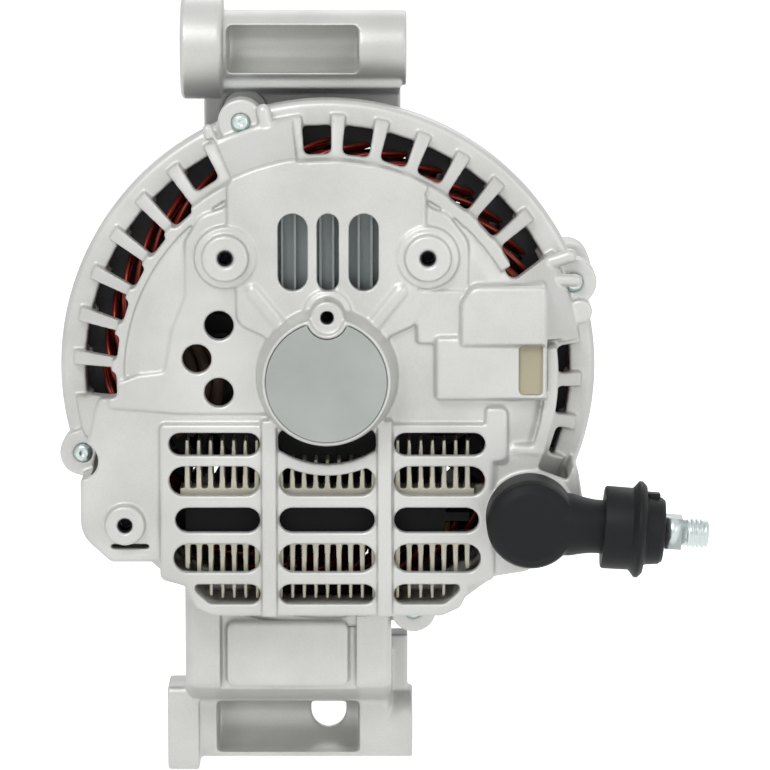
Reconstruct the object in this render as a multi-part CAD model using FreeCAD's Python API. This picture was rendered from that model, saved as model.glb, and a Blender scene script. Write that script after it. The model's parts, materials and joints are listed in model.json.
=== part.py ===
import FreeCAD, Part
import math
import os
from FreeCAD import Vector

# Vehicle alternator with two crosswise mounting barrels.
# The rotor axis is Y. The pulley points to +Y and the slip-ring end, with the grille, to -Y.
# +Z is up, and the origin is on the rotor axis in the middle plane of the belt track.
# A height is measured from the rear rim plane towards the rear.

# Clearances
TURN_GAP = 0.05          # radial, between a fixed part and the shaft or rolling parts
SEAT_GAP = 0.05          # between parts of one body that slide together
FREE_GAP = 1.0           # least air between the rotor and what stands round it

# Pulley, spacer and shaft nut
PULLEY_WIDTH = 24.0
PULLEY_R = 27.5
GROOVE_COUNT = 6
GROOVE_PITCH = 3.56
GROOVE_DEPTH = 2.8
PULLEY_RECESS_R = 18.5
PULLEY_RECESS_DEPTH = 8.0
PULLEY_BACK_R = 22.0
PULLEY_BACK_DEPTH = 9.0
SPACER_LENGTH = 10.0
SPACER_WALL = 3.0
WASHER_THICK = 2.0
WASHER_R = 15.0
NUT_FLATS = 24.0
NUT_THICK = 10.0
SHAFT_STICKOUT = 3.0

# Front bearing, 17 x 47 x 14
FRONT_BEARING_BORE_R = 8.5
FRONT_BEARING_R = 23.5
FRONT_BEARING_WIDTH = 14.0
FRONT_BALL_R = 4.3
FRONT_BALL_COUNT = 7

# Rear bearing, 8 x 23 x 14
REAR_BEARING_BORE_R = 4.0
REAR_BEARING_R = 11.5
REAR_BEARING_WIDTH = 14.0
REAR_BALL_R = 2.1
REAR_BALL_COUNT = 7

RACE_WALL_SHARE = 0.16   # thickness of a race at its rim, as a share of the bearing's radius
CAGE_THICK = 1.6
CAGE_RIM = 0.9
SEAL_THICK = 0.8

# Front bracket
FRONT_LIP = 3.5
FRONT_BRACKET_R = 70.0
FRONT_WALL = 3.5
FRONT_FACE_DROP = 9.0
FRONT_FACE_R = 46.0
RETAINER_THICK = 2.0
RETAINER_SCREW_R = 2.0
RETAINER_SCREW_COUNT = 4

# Stator and rotor
STATOR_R = 68.0
STATOR_BORE_R = 49.1
STATOR_LENGTH = 33.0
STATOR_SLOTS = 36
STATOR_SLOT_WIDTH = 3.6
STATOR_SLOT_DEPTH = 11.0
STATOR_MOUTH_WIDTH = 1.6
STATOR_LIP = 1.4
AIR_GAP = 0.4
WINDING_OVERHANG = 10.0
WINDING_CLEAR = 1.2
WINDING_THICK = 10.5
CLAW_LENGTH = 36.0
CLAW_DISC = 12.0
CLAW_FINGERS = 6
CLAW_ROOT_WIDTH = 23.0
CLAW_TIP_WIDTH = 11.0
CLAW_THICK = 9.0
CLAW_DISC_R = 37.0
ROTOR_CORE_R = 11.0
BOBBIN_WALL = 1.5
FAN_PLATE = 1.2
FAN_BLADE_HEIGHT = 6.0
FAN_R = 46.0
FAN_BLADE_ROOT_R = 27.0
FAN_BLADES = 9
BLADE_THICK = 1.2

# Rear bracket shell
RIM_STATION = -96.0      # Y of the rear rim plane
RIM_R = 74.2
RIM_DEPTH = 10.0
REGISTER_DEPTH = 2.5
REGISTER_LIP = 2.4
WALL = 3.0
FACE_HEIGHT = 18.0
FACE_R = 51.0
SHOULDER_FOOT_R = 70.3
SHOULDER_FOOT_HEIGHT = 4.5
SHOULDER_TOP_R = 58.5
SHOULDER_TOP_HEIGHT = 15.6

# Air slots of the shoulder
SLOT_PITCH = 360.0 / 35.0
SLOT_FIRST_ANGLE = 184.9
SLOT_WIDTH = 7.6
SLOT_INNER_R = 56.5
SLOT_OUTER_R = 67.1
SLOT_SIDE_INNER_R = 63.5
SLOT_TOP_INDEXES = (0, 1, 2, 3, 4, 5, 6, 9, 10, 11, 12, 13, 14, 15)
SLOT_SIDE_INDEXES = (18, 19, 20)
SLOT_POCKET_R = 72.0

# Raised areas of the rear face
PANEL_HEIGHT = 19.0
PLATEAU_HEIGHT = 20.4
PLATEAU_ARC_R = 60.4
PLATEAU_HALF = 27.2
GRILLE_HEIGHT = 19.8
GRILLE_BAR_HEIGHT = 21.4
GRILLE_BAR_WIDTH = 4.2
GRILLE_BAR_X = 15.9
GRILLE_BOTTOM = 66.7
GRILLE_HALF = 38.8
GRILLE_TOP_HALF = 46.0
GRILLE_INNER_X = 18.4
GRILLE_MIDDLE_HALF = 13.1
CRESCENT_R = 24.4
CRESCENT_INNER_R = 17.2
CRESCENT_HALF = 13.4
ARCH_R = 27.6
CAST_ROUND = 1.0         # rounding of the casting's raised edges

# Rows of the grille: top, bottom, outer end of a side opening, and the corner cut at that end
GRILLE_ROWS = (
    (15.7, 21.9, 43.4, 0.0),
    (25.0, 33.1, 43.4, 0.0),
    (36.5, 43.3, 41.7, 0.0),
    (46.6, 54.4, 42.2, 0.0),
    (57.9, 63.3, 36.9, 4.6),
)

# Regulator window
WINDOW_TOP = 44.7
WINDOW_BOTTOM = 23.6
WINDOW_SLOTS = ((-9.3, 8.0), (0.35, 5.9), (10.1, 8.0))

# Vent holes and screw bosses
VENT_R = 4.0
VENT_CENTRES = ((-29.5, 13.9), (-35.6, 4.7), (-29.6, -4.6))
SIDE_BOSS_X = 27.6
SIDE_BOSS_Z = 32.8
SIDE_BOSS_R = 6.35
SIDE_BOSS_HOLE_R = 2.1
SIDE_BOSS_HEIGHT = 24.0
SIDE_BOSS_DEPTH = 9.0
LOBE_BOSS_X = -55.5
LOBE_BOSS_Z = -41.2
LOBE_BOSS_R = 5.5
LOBE_BOSS_HOLE_R = 2.1
LOBE_BOSS_HEIGHT = 21.5
LOBE_BOSS_DEPTH = 9.0
CAP_BOSS_Z = 17.4
CAP_BOSS_R = 4.6
CAP_BOSS_HOLE_R = 1.85
CAP_BOSS_HEIGHT = 30.0
CAP_BOSS_DEPTH = 12.0
INNER_SCREW_DEPTH = 4.6

# Bearing box and cap
BOX_R = 17.5
BOX_FOOT_R = 19.2
BOX_HEIGHT = 31.2
CAP_R = 16.4
CAP_THICK = 1.6
CAP_AIR = 0.8            # between the cap and the bearing
CAP_NOTCH_LIP = 1.2

# Connector hood
HOOD_RIGHT = 60.2
HOOD_LEFT = 29.6
HOOD_STEP_X = 36.4
HOOD_TOP = 25.3
HOOD_MIDDLE = 9.6
HOOD_BOTTOM = -6.4
HOOD_HEIGHT = 23.4
HOOD_LOW_HEIGHT = 21.8
HOOD_NOTCH_LEFT = 52.5
HOOD_NOTCH_RIGHT = 58.9
SOCKET_LENGTH = 17.0
SOCKET_WALL = 1.5
SOCKET_HEIGHT = 12.0
SOCKET_TOP_HEIGHT = 20.2
PIN_COUNT = 3
PIN_PITCH = 3.6
PIN_LENGTH = 9.0

# Through bolts
BOLT_CIRCLE_R = 72.1
BOLT_FIRST_ANGLE = 19.3
BOLT_COUNT = 4
BOLT_R = 2.5
BOLT_BOSS_R = 6.4
BOLT_BOSS_HEIGHT = 2.0
BOLT_HEAD_R = 4.6
BOLT_HEAD_THICK = 5.0
BOLT_EAR_LENGTH = 20.0
BELL_DEPTH = 15.0

# Mounting barrels, bored for a 10 mm bolt
BARREL_BORE_R = 5.25
BARREL_RELIEF_R = 7.7
UPPER_STATION = -70.0
UPPER_Z = 86.9
UPPER_LEFT = -41.2
UPPER_COLLAR_END = -29.4
UPPER_RIGHT = 21.9
UPPER_R = 10.5
UPPER_COLLAR_R = 14.4
UPPER_WINDOW_LEFT = -28.3
UPPER_WINDOW_RIGHT = 8.5
UPPER_WINDOW_HALF = 6.6
UPPER_WEB_LEFT = -35.4
UPPER_WEB_RIGHT = 20.3
LOWER_STATION = -71.0
LOWER_Z = -105.4
LOWER_LEFT = -45.7
LOWER_COLLAR_END = -36.8
LOWER_RIGHT = 23.7
LOWER_R = 10.3
LOWER_COLLAR_R = 12.2
LOWER_WINDOW_LEFT = -31.8
LOWER_WINDOW_RIGHT = 8.6
LOWER_WINDOW_HALF = 7.9
BACK_HOLE_LEFT = -5.2
BACK_HOLE_RIGHT = 4.7
BACK_HOLE_TOP = 4.1      # above the barrel's axis
LEG_LEFT = -40.0
LEG_RIGHT = 17.7
LEG_COLUMN = 9.9
LEG_PANEL_LEFT = -28.4
LEG_PANEL_RIGHT = 5.7
LEG_PANEL_BOTTOM = -90.0
LEG_FACE_HEIGHT = 2.2

# Rectifier
SINK_LEVEL = 4.0         # height of the heat sinks' inner face
SINK_DEPTH = 10.0
SINK_HALF = 40.6
UPPER_SINK_TOP = -18.5
UPPER_SINK_BASE = -31.9
LOWER_SINK_BASE = -47.7
LOWER_SINK_BOTTOM = -63.2
SINK_BASE_THICK = 2.7
FIN_PITCH = 3.22
FIN_THICK = 1.25
DIODE_R = 4.0
DIODE_LENGTH = 3.2
DIODE_PITCH = 20.0
DIODE_COUNT = 4
DIODE_LEAD_R = 0.7
BOARD_THICK = 2.4
BOARD_FRONT_THICK = 1.4
BOARD_EAR_THICK = 3.0
RECTIFIER_SCREW_R = 2.0

# Regulator and brush gear
REGULATOR_HALF = 17.0
REGULATOR_BOTTOM = 21.6
REGULATOR_TOP = 47.0
REGULATOR_CASE_DEPTH = 5.0
REGULATOR_LEVEL = 4.5
REGULATOR_FIN_HEIGHT = 6.5
REGULATOR_FIN_COUNT = 10
BRUSH_WIDTH = 6.4
BRUSH_THICK = 3.6
BRUSH_LENGTH = 9.0
BRUSH_TRAVEL = 3.0
BRUSH_HOLDER_HALF = 8.5
BRUSH_HOLDER_BOTTOM = 9.5
BRUSH_SPRING_R = 1.5
SLIP_RING_R = 7.2
SLIP_RING_WIDTH = 4.2
SLIP_RING_THICK = 0.9
SLIP_RING_FIRST = 3.4    # height of the first ring's near edge
SLIP_RING_PITCH = 5.7

# Output terminal
POST_X = 55.7
POST_Z = -38.7
POST_R = 3.0
POST_HOLE_R = 6.0
POST_PAD_R = 7.2
INSULATOR_R = 8.0
INSULATOR_FLANGE = 2.5
ARM_HEIGHT = 29.0
ARM_THICK = 4.0
ARM_WIDTH = 9.6
ARM_TILT = 4.0
ARM_BASE_START = 36.6
ARM_BASE_LENGTH = 4.5
ARM_BASE_WIDTH = 8.4
ARM_STUD_R = 4.0
ARM_STUD_END = 48.4
BOOT_R = 12.2
BOOT_WALL = 1.8
BOOT_TOP_HEIGHT = 38.0
BOOT_FOOT_HEIGHT = 20.2
NECK_R = 7.3
NECK_END = 24.0
SHROUD_START = 19.6
SHROUD_COLLAR_R = 11.3
SHROUD_FLANGE_START = 27.5
SHROUD_FLANGE_END = 31.0
SHROUD_FLANGE_R = 13.2
SHROUD_END = 36.3
SHROUD_END_R = 9.0

# Stations that follow from the sizes above
AXIS = Vector(0, 1, 0)
PULLEY_BACK = -PULLEY_WIDTH / 2
PULLEY_FRONT = PULLEY_WIDTH / 2
FRONT_BEARING_FRONT = PULLEY_BACK - SPACER_LENGTH
FRONT_BEARING_BACK = FRONT_BEARING_FRONT - FRONT_BEARING_WIDTH
RIM_FRONT = RIM_STATION + RIM_DEPTH
STATOR_BACK = RIM_FRONT - REGISTER_DEPTH
STATOR_FRONT = STATOR_BACK + STATOR_LENGTH
ROTOR_MIDDLE = (STATOR_BACK + STATOR_FRONT) / 2
CLAW_FRONT = ROTOR_MIDDLE + CLAW_LENGTH / 2
CLAW_BACK = ROTOR_MIDDLE - CLAW_LENGTH / 2
ROTOR_R = STATOR_BORE_R - AIR_GAP
FRONT_BRACKET_BACK = STATOR_FRONT - REGISTER_DEPTH


def rear(height):
    """Y of a plane at a height above the rear rim plane."""
    return RIM_STATION - height


REAR_BEARING_BACK = rear(BOX_HEIGHT - CAP_THICK - CAP_AIR)
REAR_BEARING_FRONT = REAR_BEARING_BACK + REAR_BEARING_WIDTH


def disc(radius, y_low, y_high, x=0.0, z=0.0):
    """Round bar along Y."""
    return Part.makeCylinder(radius, y_high - y_low, Vector(x, y_low, z), AXIS)


def tube(outer, inner, y_low, y_high, x=0.0, z=0.0):
    """Round tube along Y."""
    return disc(outer, y_low, y_high, x, z).cut(disc(inner, y_low, y_high, x, z))


def block(x_low, x_high, y_low, y_high, z_low, z_high):
    """Box between two corners."""
    corner = Vector(x_low, y_low, z_low)
    return Part.makeBox(x_high - x_low, y_high - y_low, z_high - z_low, corner)


def rounded_face(corners, place):
    """Face whose corners (a, b, radius) are rounded; place turns a, b into a point."""
    ends = []
    for index, (a, b, radius) in enumerate(corners):
        last = corners[index - 1]
        following = corners[(index + 1) % len(corners)]
        corner = Vector(a, b, 0)
        to_last = (Vector(last[0], last[1], 0) - corner).normalize()
        to_next = (Vector(following[0], following[1], 0) - corner).normalize()
        half = to_last.getAngle(to_next) / 2
        if radius == 0:
            ends.append((corner, None, corner))
            continue
        setback = radius / math.tan(half)
        middle_way = (to_last + to_next).normalize()
        depth = radius / math.sin(half) - radius
        start = corner + to_last * setback
        end = corner + to_next * setback
        ends.append((start, corner + middle_way * depth, end))
    edges = []
    for index, (start, middle, end) in enumerate(ends):
        before = ends[index - 1][2]
        if (before - start).Length > 1e-6:
            edges.append(Part.makeLine(place(before.x, before.y), place(start.x, start.y)))
        if middle is not None:
            arc = Part.Arc(place(start.x, start.y), place(middle.x, middle.y), place(end.x, end.y))
            edges.append(arc.toShape())
    return Part.Face(Part.Wire(Part.__sortEdges__(edges)))


def plan_face(corners, y, inset=0.0):
    """Face in a plane across the rotor axis, shrunk by an inset."""
    face = rounded_face(corners, lambda x, z: Vector(x, y, z))
    if inset:
        face = face.makeOffset2D(-inset)
    return face


def slab(corners, low, high, inset=0.0):
    """Plate between two heights above the rim plane."""
    return plan_face(corners, rear(low), inset).extrude(Vector(0, low - high, 0))


def soft_slab(corners, low, high, radius=CAST_ROUND):
    """Plate whose rear edge is rounded, as a casting's is."""
    plate = slab(corners, low, high)
    top = rear(high)
    edges = [edge for edge in plate.Edges if abs(edge.BoundBox.YMax - top) < 1e-6]
    return plate.makeFillet(radius, edges)


def revolved(corners):
    """Solid of revolution about the rotor axis from (radius, y, rounding) corners."""
    face = rounded_face(corners, lambda radius, y: Vector(radius, y, 0))
    return face.revolve(Vector(0, 0, 0), AXIS, 360)


def stadium(x_low, x_high, z_low, z_high, low, high):
    """Opening with fully rounded ends along its longer side."""
    radius = min(x_high - x_low, z_high - z_low) / 2 - 0.01
    corners = (
        (x_low, z_low, radius),
        (x_high, z_low, radius),
        (x_high, z_high, radius),
        (x_low, z_high, radius),
    )
    return slab(corners, low, high)


def turned(shape, angle, x=0.0, z=0.0):
    """Copy turned about an axis along Y, anticlockwise as seen from the rear."""
    copy = shape.copy()
    copy.rotate(Vector(x, 0, z), Vector(0, -1, 0), angle)
    return copy


def ring_of(shape, count, first=0.0):
    """Copies of a shape spread evenly round the rotor axis."""
    return [turned(shape, first + index * 360.0 / count) for index in range(count)]


def polar(radius, angle):
    """X and Z at a radius and an angle in degrees from +X towards +Z."""
    turn = math.radians(angle)
    return radius * math.cos(turn), radius * math.sin(turn)


def hexagon(flats, y_low, y_high, x=0.0, z=0.0):
    """Hexagonal bar along Y."""
    radius = flats / math.sqrt(3)
    corners = [polar(radius, 60 * index) for index in range(6)]
    points = [Vector(x + px, y_low, z + pz) for px, pz in corners]
    return Part.Face(Part.makePolygon(points + points[:1])).extrude(Vector(0, y_high - y_low, 0))


def united(shapes):
    """One solid from several that touch or overlap."""
    first = shapes[0]
    return first.fuse(shapes[1:]).removeSplitter()


def rib(start, end, radius, height):
    """Rounded rib that lies on the rear face between two points."""
    y = rear(height)
    low = Vector(start[0], y, start[1])
    high = Vector(end[0], y, end[1])
    bar = Part.makeCylinder(radius, (high - low).Length, low, high - low)
    return bar.fuse([Part.makeSphere(radius, low), Part.makeSphere(radius, high)])


# Outlines of the rear face, as (x, z, corner radius)
LOBE_OUTLINE = (
    (-40.0, 3.0, 0.0),
    (-57.5, -1.0, 4.0),
    (-63.5, -8.0, 6.0),
    (-67.9, -27.0, 5.0),
    (-67.9, -44.5, 9.0),
    (-59.6, -52.0, 1.5),
    (-30.0, -52.0, 0.0),
    (-30.0, 3.0, 0.0),
)
TERMINAL_OUTLINE = (
    (40.0, -20.0, 0.0),
    (62.0, -20.0, 3.0),
    (69.0, -26.0, 4.0),
    (70.3, -34.5, 3.0),
    (67.0, -45.5, 8.0),
    (55.0, -54.6, 5.0),
    (46.0, -56.0, 4.0),
    (38.0, -62.0, 2.0),
    (30.0, -62.0, 0.0),
    (30.0, -20.0, 0.0),
)
GRILLE_OUTLINE = (
    (-GRILLE_TOP_HALF, -13.2, 1.5),
    (-GRILLE_TOP_HALF, -56.5, 2.0),
    (-GRILLE_HALF, -58.5, 0.8),
    (-GRILLE_HALF, -60.0, 1.0),
    (-36.0, -64.6, 2.0),
    (-31.5, -GRILLE_BOTTOM, 3.0),
    (31.5, -GRILLE_BOTTOM, 3.0),
    (36.6, -64.4, 2.0),
    (GRILLE_HALF, -60.0, 1.0),
    (GRILLE_HALF, -58.5, 0.8),
    (GRILLE_TOP_HALF, -56.5, 2.0),
    (GRILLE_TOP_HALF, -13.2, 1.5),
)
PANEL_OUTLINE = (
    (-26.0, 52.0, 1.0),
    (-27.0, 46.6, 3.0),
    (-34.5, 44.0, 5.0),
    (-38.7, 37.0, 4.0),
    (-38.7, 22.0, 4.0),
    (-42.5, 12.5, 6.0),
    (-44.4, 1.0, 2.0),
    (-52.0, 0.2, 4.0),
    (-60.0, -3.0, 2.0),
    (-60.0, -9.0, 1.0),
    (-40.0, -10.5, 0.0),
    (-15.0, -10.5, 0.0),
    (-15.0, 52.0, 0.0),
)
PANEL_RIGHT_OUTLINE = (
    (15.0, 52.0, 0.0),
    (15.0, 22.0, 0.0),
    (38.7, 22.0, 2.0),
    (38.7, 37.0, 5.0),
    (33.0, 44.5, 5.0),
    (27.0, 46.6, 3.0),
    (27.0, 52.0, 0.0),
)
PLATEAU_OUTLINE = (
    (-PLATEAU_HALF, 66.0, 0.0),
    (-PLATEAU_HALF, 42.0, 1.5),
    (-24.8, 36.0, 2.0),
    (-24.8, 14.5, 4.5),
    (-17.2, 11.0, 2.0),
    (-12.0, 2.0, 0.0),
    (12.0, 2.0, 0.0),
    (17.2, 11.0, 2.0),
    (25.2, 14.5, 4.5),
    (25.2, 36.0, 2.0),
    (PLATEAU_HALF, 42.0, 1.5),
    (PLATEAU_HALF, 66.0, 0.0),
)


def shell_outside():
    """Outside of the rear bracket: rim, sloping shoulder and flat face."""
    return revolved((
        (0.0, RIM_FRONT, 0.0),
        (RIM_R, RIM_FRONT, 0.8),
        (RIM_R, RIM_STATION, 2.0),
        (SHOULDER_FOOT_R, RIM_STATION, 0.6),
        (SHOULDER_FOOT_R - 0.4, rear(SHOULDER_FOOT_HEIGHT), 2.5),
        (SHOULDER_TOP_R, rear(SHOULDER_TOP_HEIGHT), 6.0),
        (FACE_R, rear(FACE_HEIGHT), 5.0),
        (0.0, rear(FACE_HEIGHT), 0.0),
    ))


def shell_inside():
    """Hollow of the rear bracket, with the register that centres the stator."""
    bore = STATOR_R + SEAT_GAP
    neck = STATOR_R - REGISTER_LIP
    return revolved((
        (0.0, RIM_FRONT, 0.0),
        (bore, RIM_FRONT, 0.0),
        (bore, STATOR_BACK, 0.0),
        (neck, STATOR_BACK, 0.0),
        (neck, rear(SHOULDER_FOOT_HEIGHT - WALL), 2.0),
        (SHOULDER_TOP_R - WALL, rear(SHOULDER_TOP_HEIGHT - WALL), 4.0),
        (FACE_R - WALL, rear(FACE_HEIGHT - WALL), 3.0),
        (0.0, rear(FACE_HEIGHT - WALL), 0.0),
    ))


def bolt_centres():
    """X and Z of each through bolt."""
    step = 360.0 / BOLT_COUNT
    return [polar(BOLT_CIRCLE_R, BOLT_FIRST_ANGLE + step * index) for index in range(BOLT_COUNT)]


def plateau():
    """Flat area round the regulator window, with an arched top edge."""
    arch = disc(PLATEAU_ARC_R, rear(PLATEAU_HEIGHT + 1), rear(0))
    plate = slab(PLATEAU_OUTLINE, FACE_HEIGHT - WALL, PLATEAU_HEIGHT).common(arch)
    top = rear(PLATEAU_HEIGHT)
    edges = [edge for edge in plate.Edges if abs(edge.BoundBox.YMax - top) < 1e-6]
    return plate.makeFillet(CAST_ROUND, edges)


def bearing_box():
    """Tapered tube that holds the rear bearing."""
    return revolved((
        (0.0, rear(FACE_HEIGHT - WALL), 0.0),
        (BOX_FOOT_R + 0.6, rear(FACE_HEIGHT - WALL), 0.0),
        (BOX_FOOT_R, rear(PLATEAU_HEIGHT), 0.0),
        (BOX_R + 0.4, rear(BOX_HEIGHT - 2.5), 1.0),
        (BOX_R, rear(BOX_HEIGHT), 0.8),
        (0.0, rear(BOX_HEIGHT), 0.0),
    ))


def boss(x, z, radius, height, low=FACE_HEIGHT - WALL):
    """Round screw boss with a rounded top edge."""
    body = disc(radius, rear(height), rear(low), x, z)
    top = [edge for edge in body.Edges if abs(edge.BoundBox.YMax - rear(height)) < 1e-6]
    return body.makeFillet(0.6, top)


def connector_hood():
    """Stepped block that covers the connector socket."""
    tall = (
        (HOOD_STEP_X, HOOD_MIDDLE - 1.0, 0.0),
        (HOOD_RIGHT, HOOD_MIDDLE - 1.0, 0.0),
        (HOOD_RIGHT, HOOD_TOP, 1.5),
        (HOOD_STEP_X + 3.0, HOOD_TOP, 4.0),
        (HOOD_STEP_X, HOOD_TOP - 5.0, 3.0),
    )
    low = (
        (HOOD_LEFT, HOOD_BOTTOM, 1.0),
        (HOOD_RIGHT, HOOD_BOTTOM, 1.0),
        (HOOD_RIGHT, HOOD_MIDDLE + 1.5, 0.0),
        (HOOD_LEFT, HOOD_MIDDLE + 1.5, 1.0),
    )
    shelf = (
        (24.5, 9.0, 1.0),
        (HOOD_STEP_X + 1.0, 9.0, 0.0),
        (HOOD_STEP_X + 1.0, 23.8, 0.0),
        (24.5, 23.8, 1.0),
    )
    return [
        soft_slab(tall, 0.0, HOOD_HEIGHT, 1.6),
        soft_slab(low, 0.0, HOOD_LOW_HEIGHT, 1.4),
        soft_slab(shelf, FACE_HEIGHT - WALL, PLATEAU_HEIGHT - 0.4),
    ]


def rear_pads():
    """Everything that stands proud of the rear bracket's round shell."""
    pads = [
        soft_slab(LOBE_OUTLINE, -4.0, FACE_HEIGHT, 1.4),
        soft_slab(TERMINAL_OUTLINE, -4.0, FACE_HEIGHT, 1.4),
        soft_slab(GRILLE_OUTLINE, 0.0, GRILLE_HEIGHT),
        soft_slab(PANEL_OUTLINE, FACE_HEIGHT - WALL, PANEL_HEIGHT, 0.7),
        soft_slab(PANEL_RIGHT_OUTLINE, FACE_HEIGHT - WALL, PANEL_HEIGHT, 0.7),
        plateau(),
        bearing_box(),
        boss(0.2, CAP_BOSS_Z, CAP_BOSS_R, CAP_BOSS_HEIGHT),
        boss(0.2, CAP_BOSS_Z, CAP_BOSS_R + 2.0, PLATEAU_HEIGHT + 0.9),
        boss(LOBE_BOSS_X, LOBE_BOSS_Z, LOBE_BOSS_R, LOBE_BOSS_HEIGHT),
        boss(POST_X, POST_Z, BOOT_R - 0.3, BOOT_FOOT_HEIGHT),
    ]
    for side in (-1, 1):
        x = side * SIDE_BOSS_X
        pads.append(boss(x, SIDE_BOSS_Z, SIDE_BOSS_R, SIDE_BOSS_HEIGHT))
        pads.append(boss(x, SIDE_BOSS_Z, SIDE_BOSS_R + 2.2, PLATEAU_HEIGHT + 0.8))
        pads.append(rib((side * 20.2, 23.5), (side * 11.0, 12.0), 2.7, PLATEAU_HEIGHT - 1.4))
        pads.append(grille_bar(side))
    pads.append(soft_slab(((43.4, -24.0, 1.0), (49.6, -24.0, 2.0), (49.6, -8.6, 2.0),
                           (43.4, -8.6, 1.0)), FACE_HEIGHT - WALL, GRILLE_HEIGHT))
    pads.append(rib((51.5, -20.8), (59.0, -21.4), 2.2, FACE_HEIGHT - 2.0))
    pads += connector_hood()
    for x, z in bolt_centres():
        pads.append(disc(BOLT_BOSS_R, rear(BOLT_BOSS_HEIGHT), RIM_FRONT, x, z))
    return pads


def grille_bar(side):
    """Upright bar that parts the columns of grille openings."""
    low = side * GRILLE_BAR_X - GRILLE_BAR_WIDTH / 2
    corners = (
        (low, -GRILLE_BOTTOM, 0.0),
        (low + GRILLE_BAR_WIDTH, -GRILLE_BOTTOM, 0.0),
        (low + GRILLE_BAR_WIDTH, -12.0, 0.0),
        (low, -12.0, 0.0),
    )
    return soft_slab(corners, GRILLE_HEIGHT - WALL, GRILLE_BAR_HEIGHT, 0.8)


def bolt_ribs():
    """Stiffening ribs that run from the two upper bolt bosses to the face."""
    top = BOLT_FIRST_ANGLE + 90.0
    side = BOLT_FIRST_ANGLE
    return [
        rib(polar(74.0, top + 7.0), polar(54.0, top + 9.5), 1.6, 4.0),
        rib(polar(73.5, top - 5.5), polar(59.0, top - 5.2), 2.1, 3.5),
        block_sector(top, 7.5, 60.0, 70.0, 5.0),
        rib(polar(74.0, side + 6.0), polar(52.5, side + 9.0), 2.0, 5.0),
        rib(polar(73.0, side + 0.5), polar(62.0, side + 4.5), 1.8, 5.0),
        boss(*polar(71.6, side - 6.5), 3.4, 4.2, -RIM_DEPTH + 2.0),
    ]


def block_sector(angle, half_width, r_low, r_high, height):
    """Pad across the shoulder at an angle."""
    corners = (
        (r_low, -half_width, 0.5),
        (r_high, -half_width, 0.5),
        (r_high, half_width, 0.5),
        (r_low, half_width, 0.5),
    )
    return turned(slab(corners, -1.0, height), angle)


def slot_cutter(angle, inner):
    """Radial air slot: through the shoulder, and open at the top out to the rim's pocket."""
    half = SLOT_WIDTH / 2
    through = (
        (inner, -half, half * 0.62),
        (SLOT_OUTER_R, -half, 0.0),
        (SLOT_OUTER_R, half, 0.0),
        (inner, half, half * 0.62),
    )
    pocket = (
        (SLOT_OUTER_R - 4.0, -half, 0.0),
        (SLOT_POCKET_R, -half, 0.0),
        (SLOT_POCKET_R, half, 0.0),
        (SLOT_OUTER_R - 4.0, half, 0.0),
    )
    opening = slab(through, -REGISTER_DEPTH - WALL, FACE_HEIGHT + 6.0)
    shelf = slab(pocket, 0.0, FACE_HEIGHT)
    return turned(opening.fuse(shelf), angle)


def air_slots():
    """Cutters for the ring of air slots."""
    cutters = []
    for index in SLOT_TOP_INDEXES:
        cutters.append(slot_cutter(SLOT_FIRST_ANGLE - index * SLOT_PITCH, SLOT_INNER_R))
    for index in SLOT_SIDE_INDEXES:
        cutters.append(slot_cutter(SLOT_FIRST_ANGLE - index * SLOT_PITCH, SLOT_SIDE_INNER_R))
    return cutters


def slot_guard():
    """Metal that no air slot may cut: the bolt pads, the lobes and the connector hood."""
    left_foot = (
        (-76.0, -60.0, 0.0),
        (-30.0, -60.0, 0.0),
        (-30.0, 0.5, 0.0),
        (-56.0, -0.5, 0.0),
        (-66.6, -7.6, 0.0),
        (-76.0, -7.6, 0.0),
    )
    top = BOLT_FIRST_ANGLE + 90.0
    near_top = [polar(50.0, top + 10.5), polar(80.0, top + 8.0), polar(80.0, top - 9.5),
                polar(50.0, top - 9.5)]
    near_side = [polar(50.0, 26.5), polar(80.0, 24.5), polar(80.0, 5.5), polar(50.0, 5.5)]
    guards = [slab(left_foot, -12.0, 30.0)]
    for outline in (near_top, near_side):
        guards.append(slab([(x, z, 0.0) for x, z in outline], -12.0, 30.0))
    return guards


def grille_openings():
    """Cutters for the five rows of the grille and the crescent below the bearing box."""
    low = -2.0
    high = GRILLE_BAR_HEIGHT + 2.0
    cutters = []
    for row, (top, bottom, outer, corner) in enumerate(GRILLE_ROWS):
        for side in (-1, 1):
            left, right = sorted((side * GRILLE_INNER_X, side * outer))
            if corner:
                cutters.append(cut_corner_opening(side, top, bottom, outer, corner, low, high))
            else:
                cutters.append(stadium(left, right, -bottom, -top, low, high))
        if row == 0:
            cutters.append(crescent(low, high))
            continue
        middle = stadium(-GRILLE_MIDDLE_HALF, GRILLE_MIDDLE_HALF, -bottom, -top, low, high)
        if row == 1:
            middle = middle.cut(disc(ARCH_R, rear(high), rear(low)))
        cutters.append(middle)
    return cutters


def cut_corner_opening(side, top, bottom, outer, corner, low, high):
    """Side opening of the last row, whose outer lower corner is cut away."""
    radius = (bottom - top) / 2 - 0.02
    corners = [
        (side * GRILLE_INNER_X, -top, radius),
        (side * outer, -top, 0.8),
        (side * (outer - 0.9), -top - 2.2, 1.0),
        (side * (outer - corner), -bottom, 2.0),
        (side * GRILLE_INNER_X, -bottom, radius),
    ]
    return slab(corners, low, high)


def crescent(low, high):
    """Crescent opening between the bearing box and the grille."""
    ring = tube(CRESCENT_R, CRESCENT_INNER_R, rear(high), rear(low))
    window = (
        (-CRESCENT_HALF, -30.0, 0.0),
        (CRESCENT_HALF, -30.0, 0.0),
        (CRESCENT_HALF, -14.6, 2.4),
        (-CRESCENT_HALF, -14.6, 2.4),
    )
    return ring.common(slab(window, low, high))


def blind_hole(radius, x, z, mouth, depth):
    """Cutter for a blind hole whose mouth is at a height of the rear face."""
    return disc(radius, rear(mouth + 1.0), rear(mouth - depth), x, z)


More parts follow.
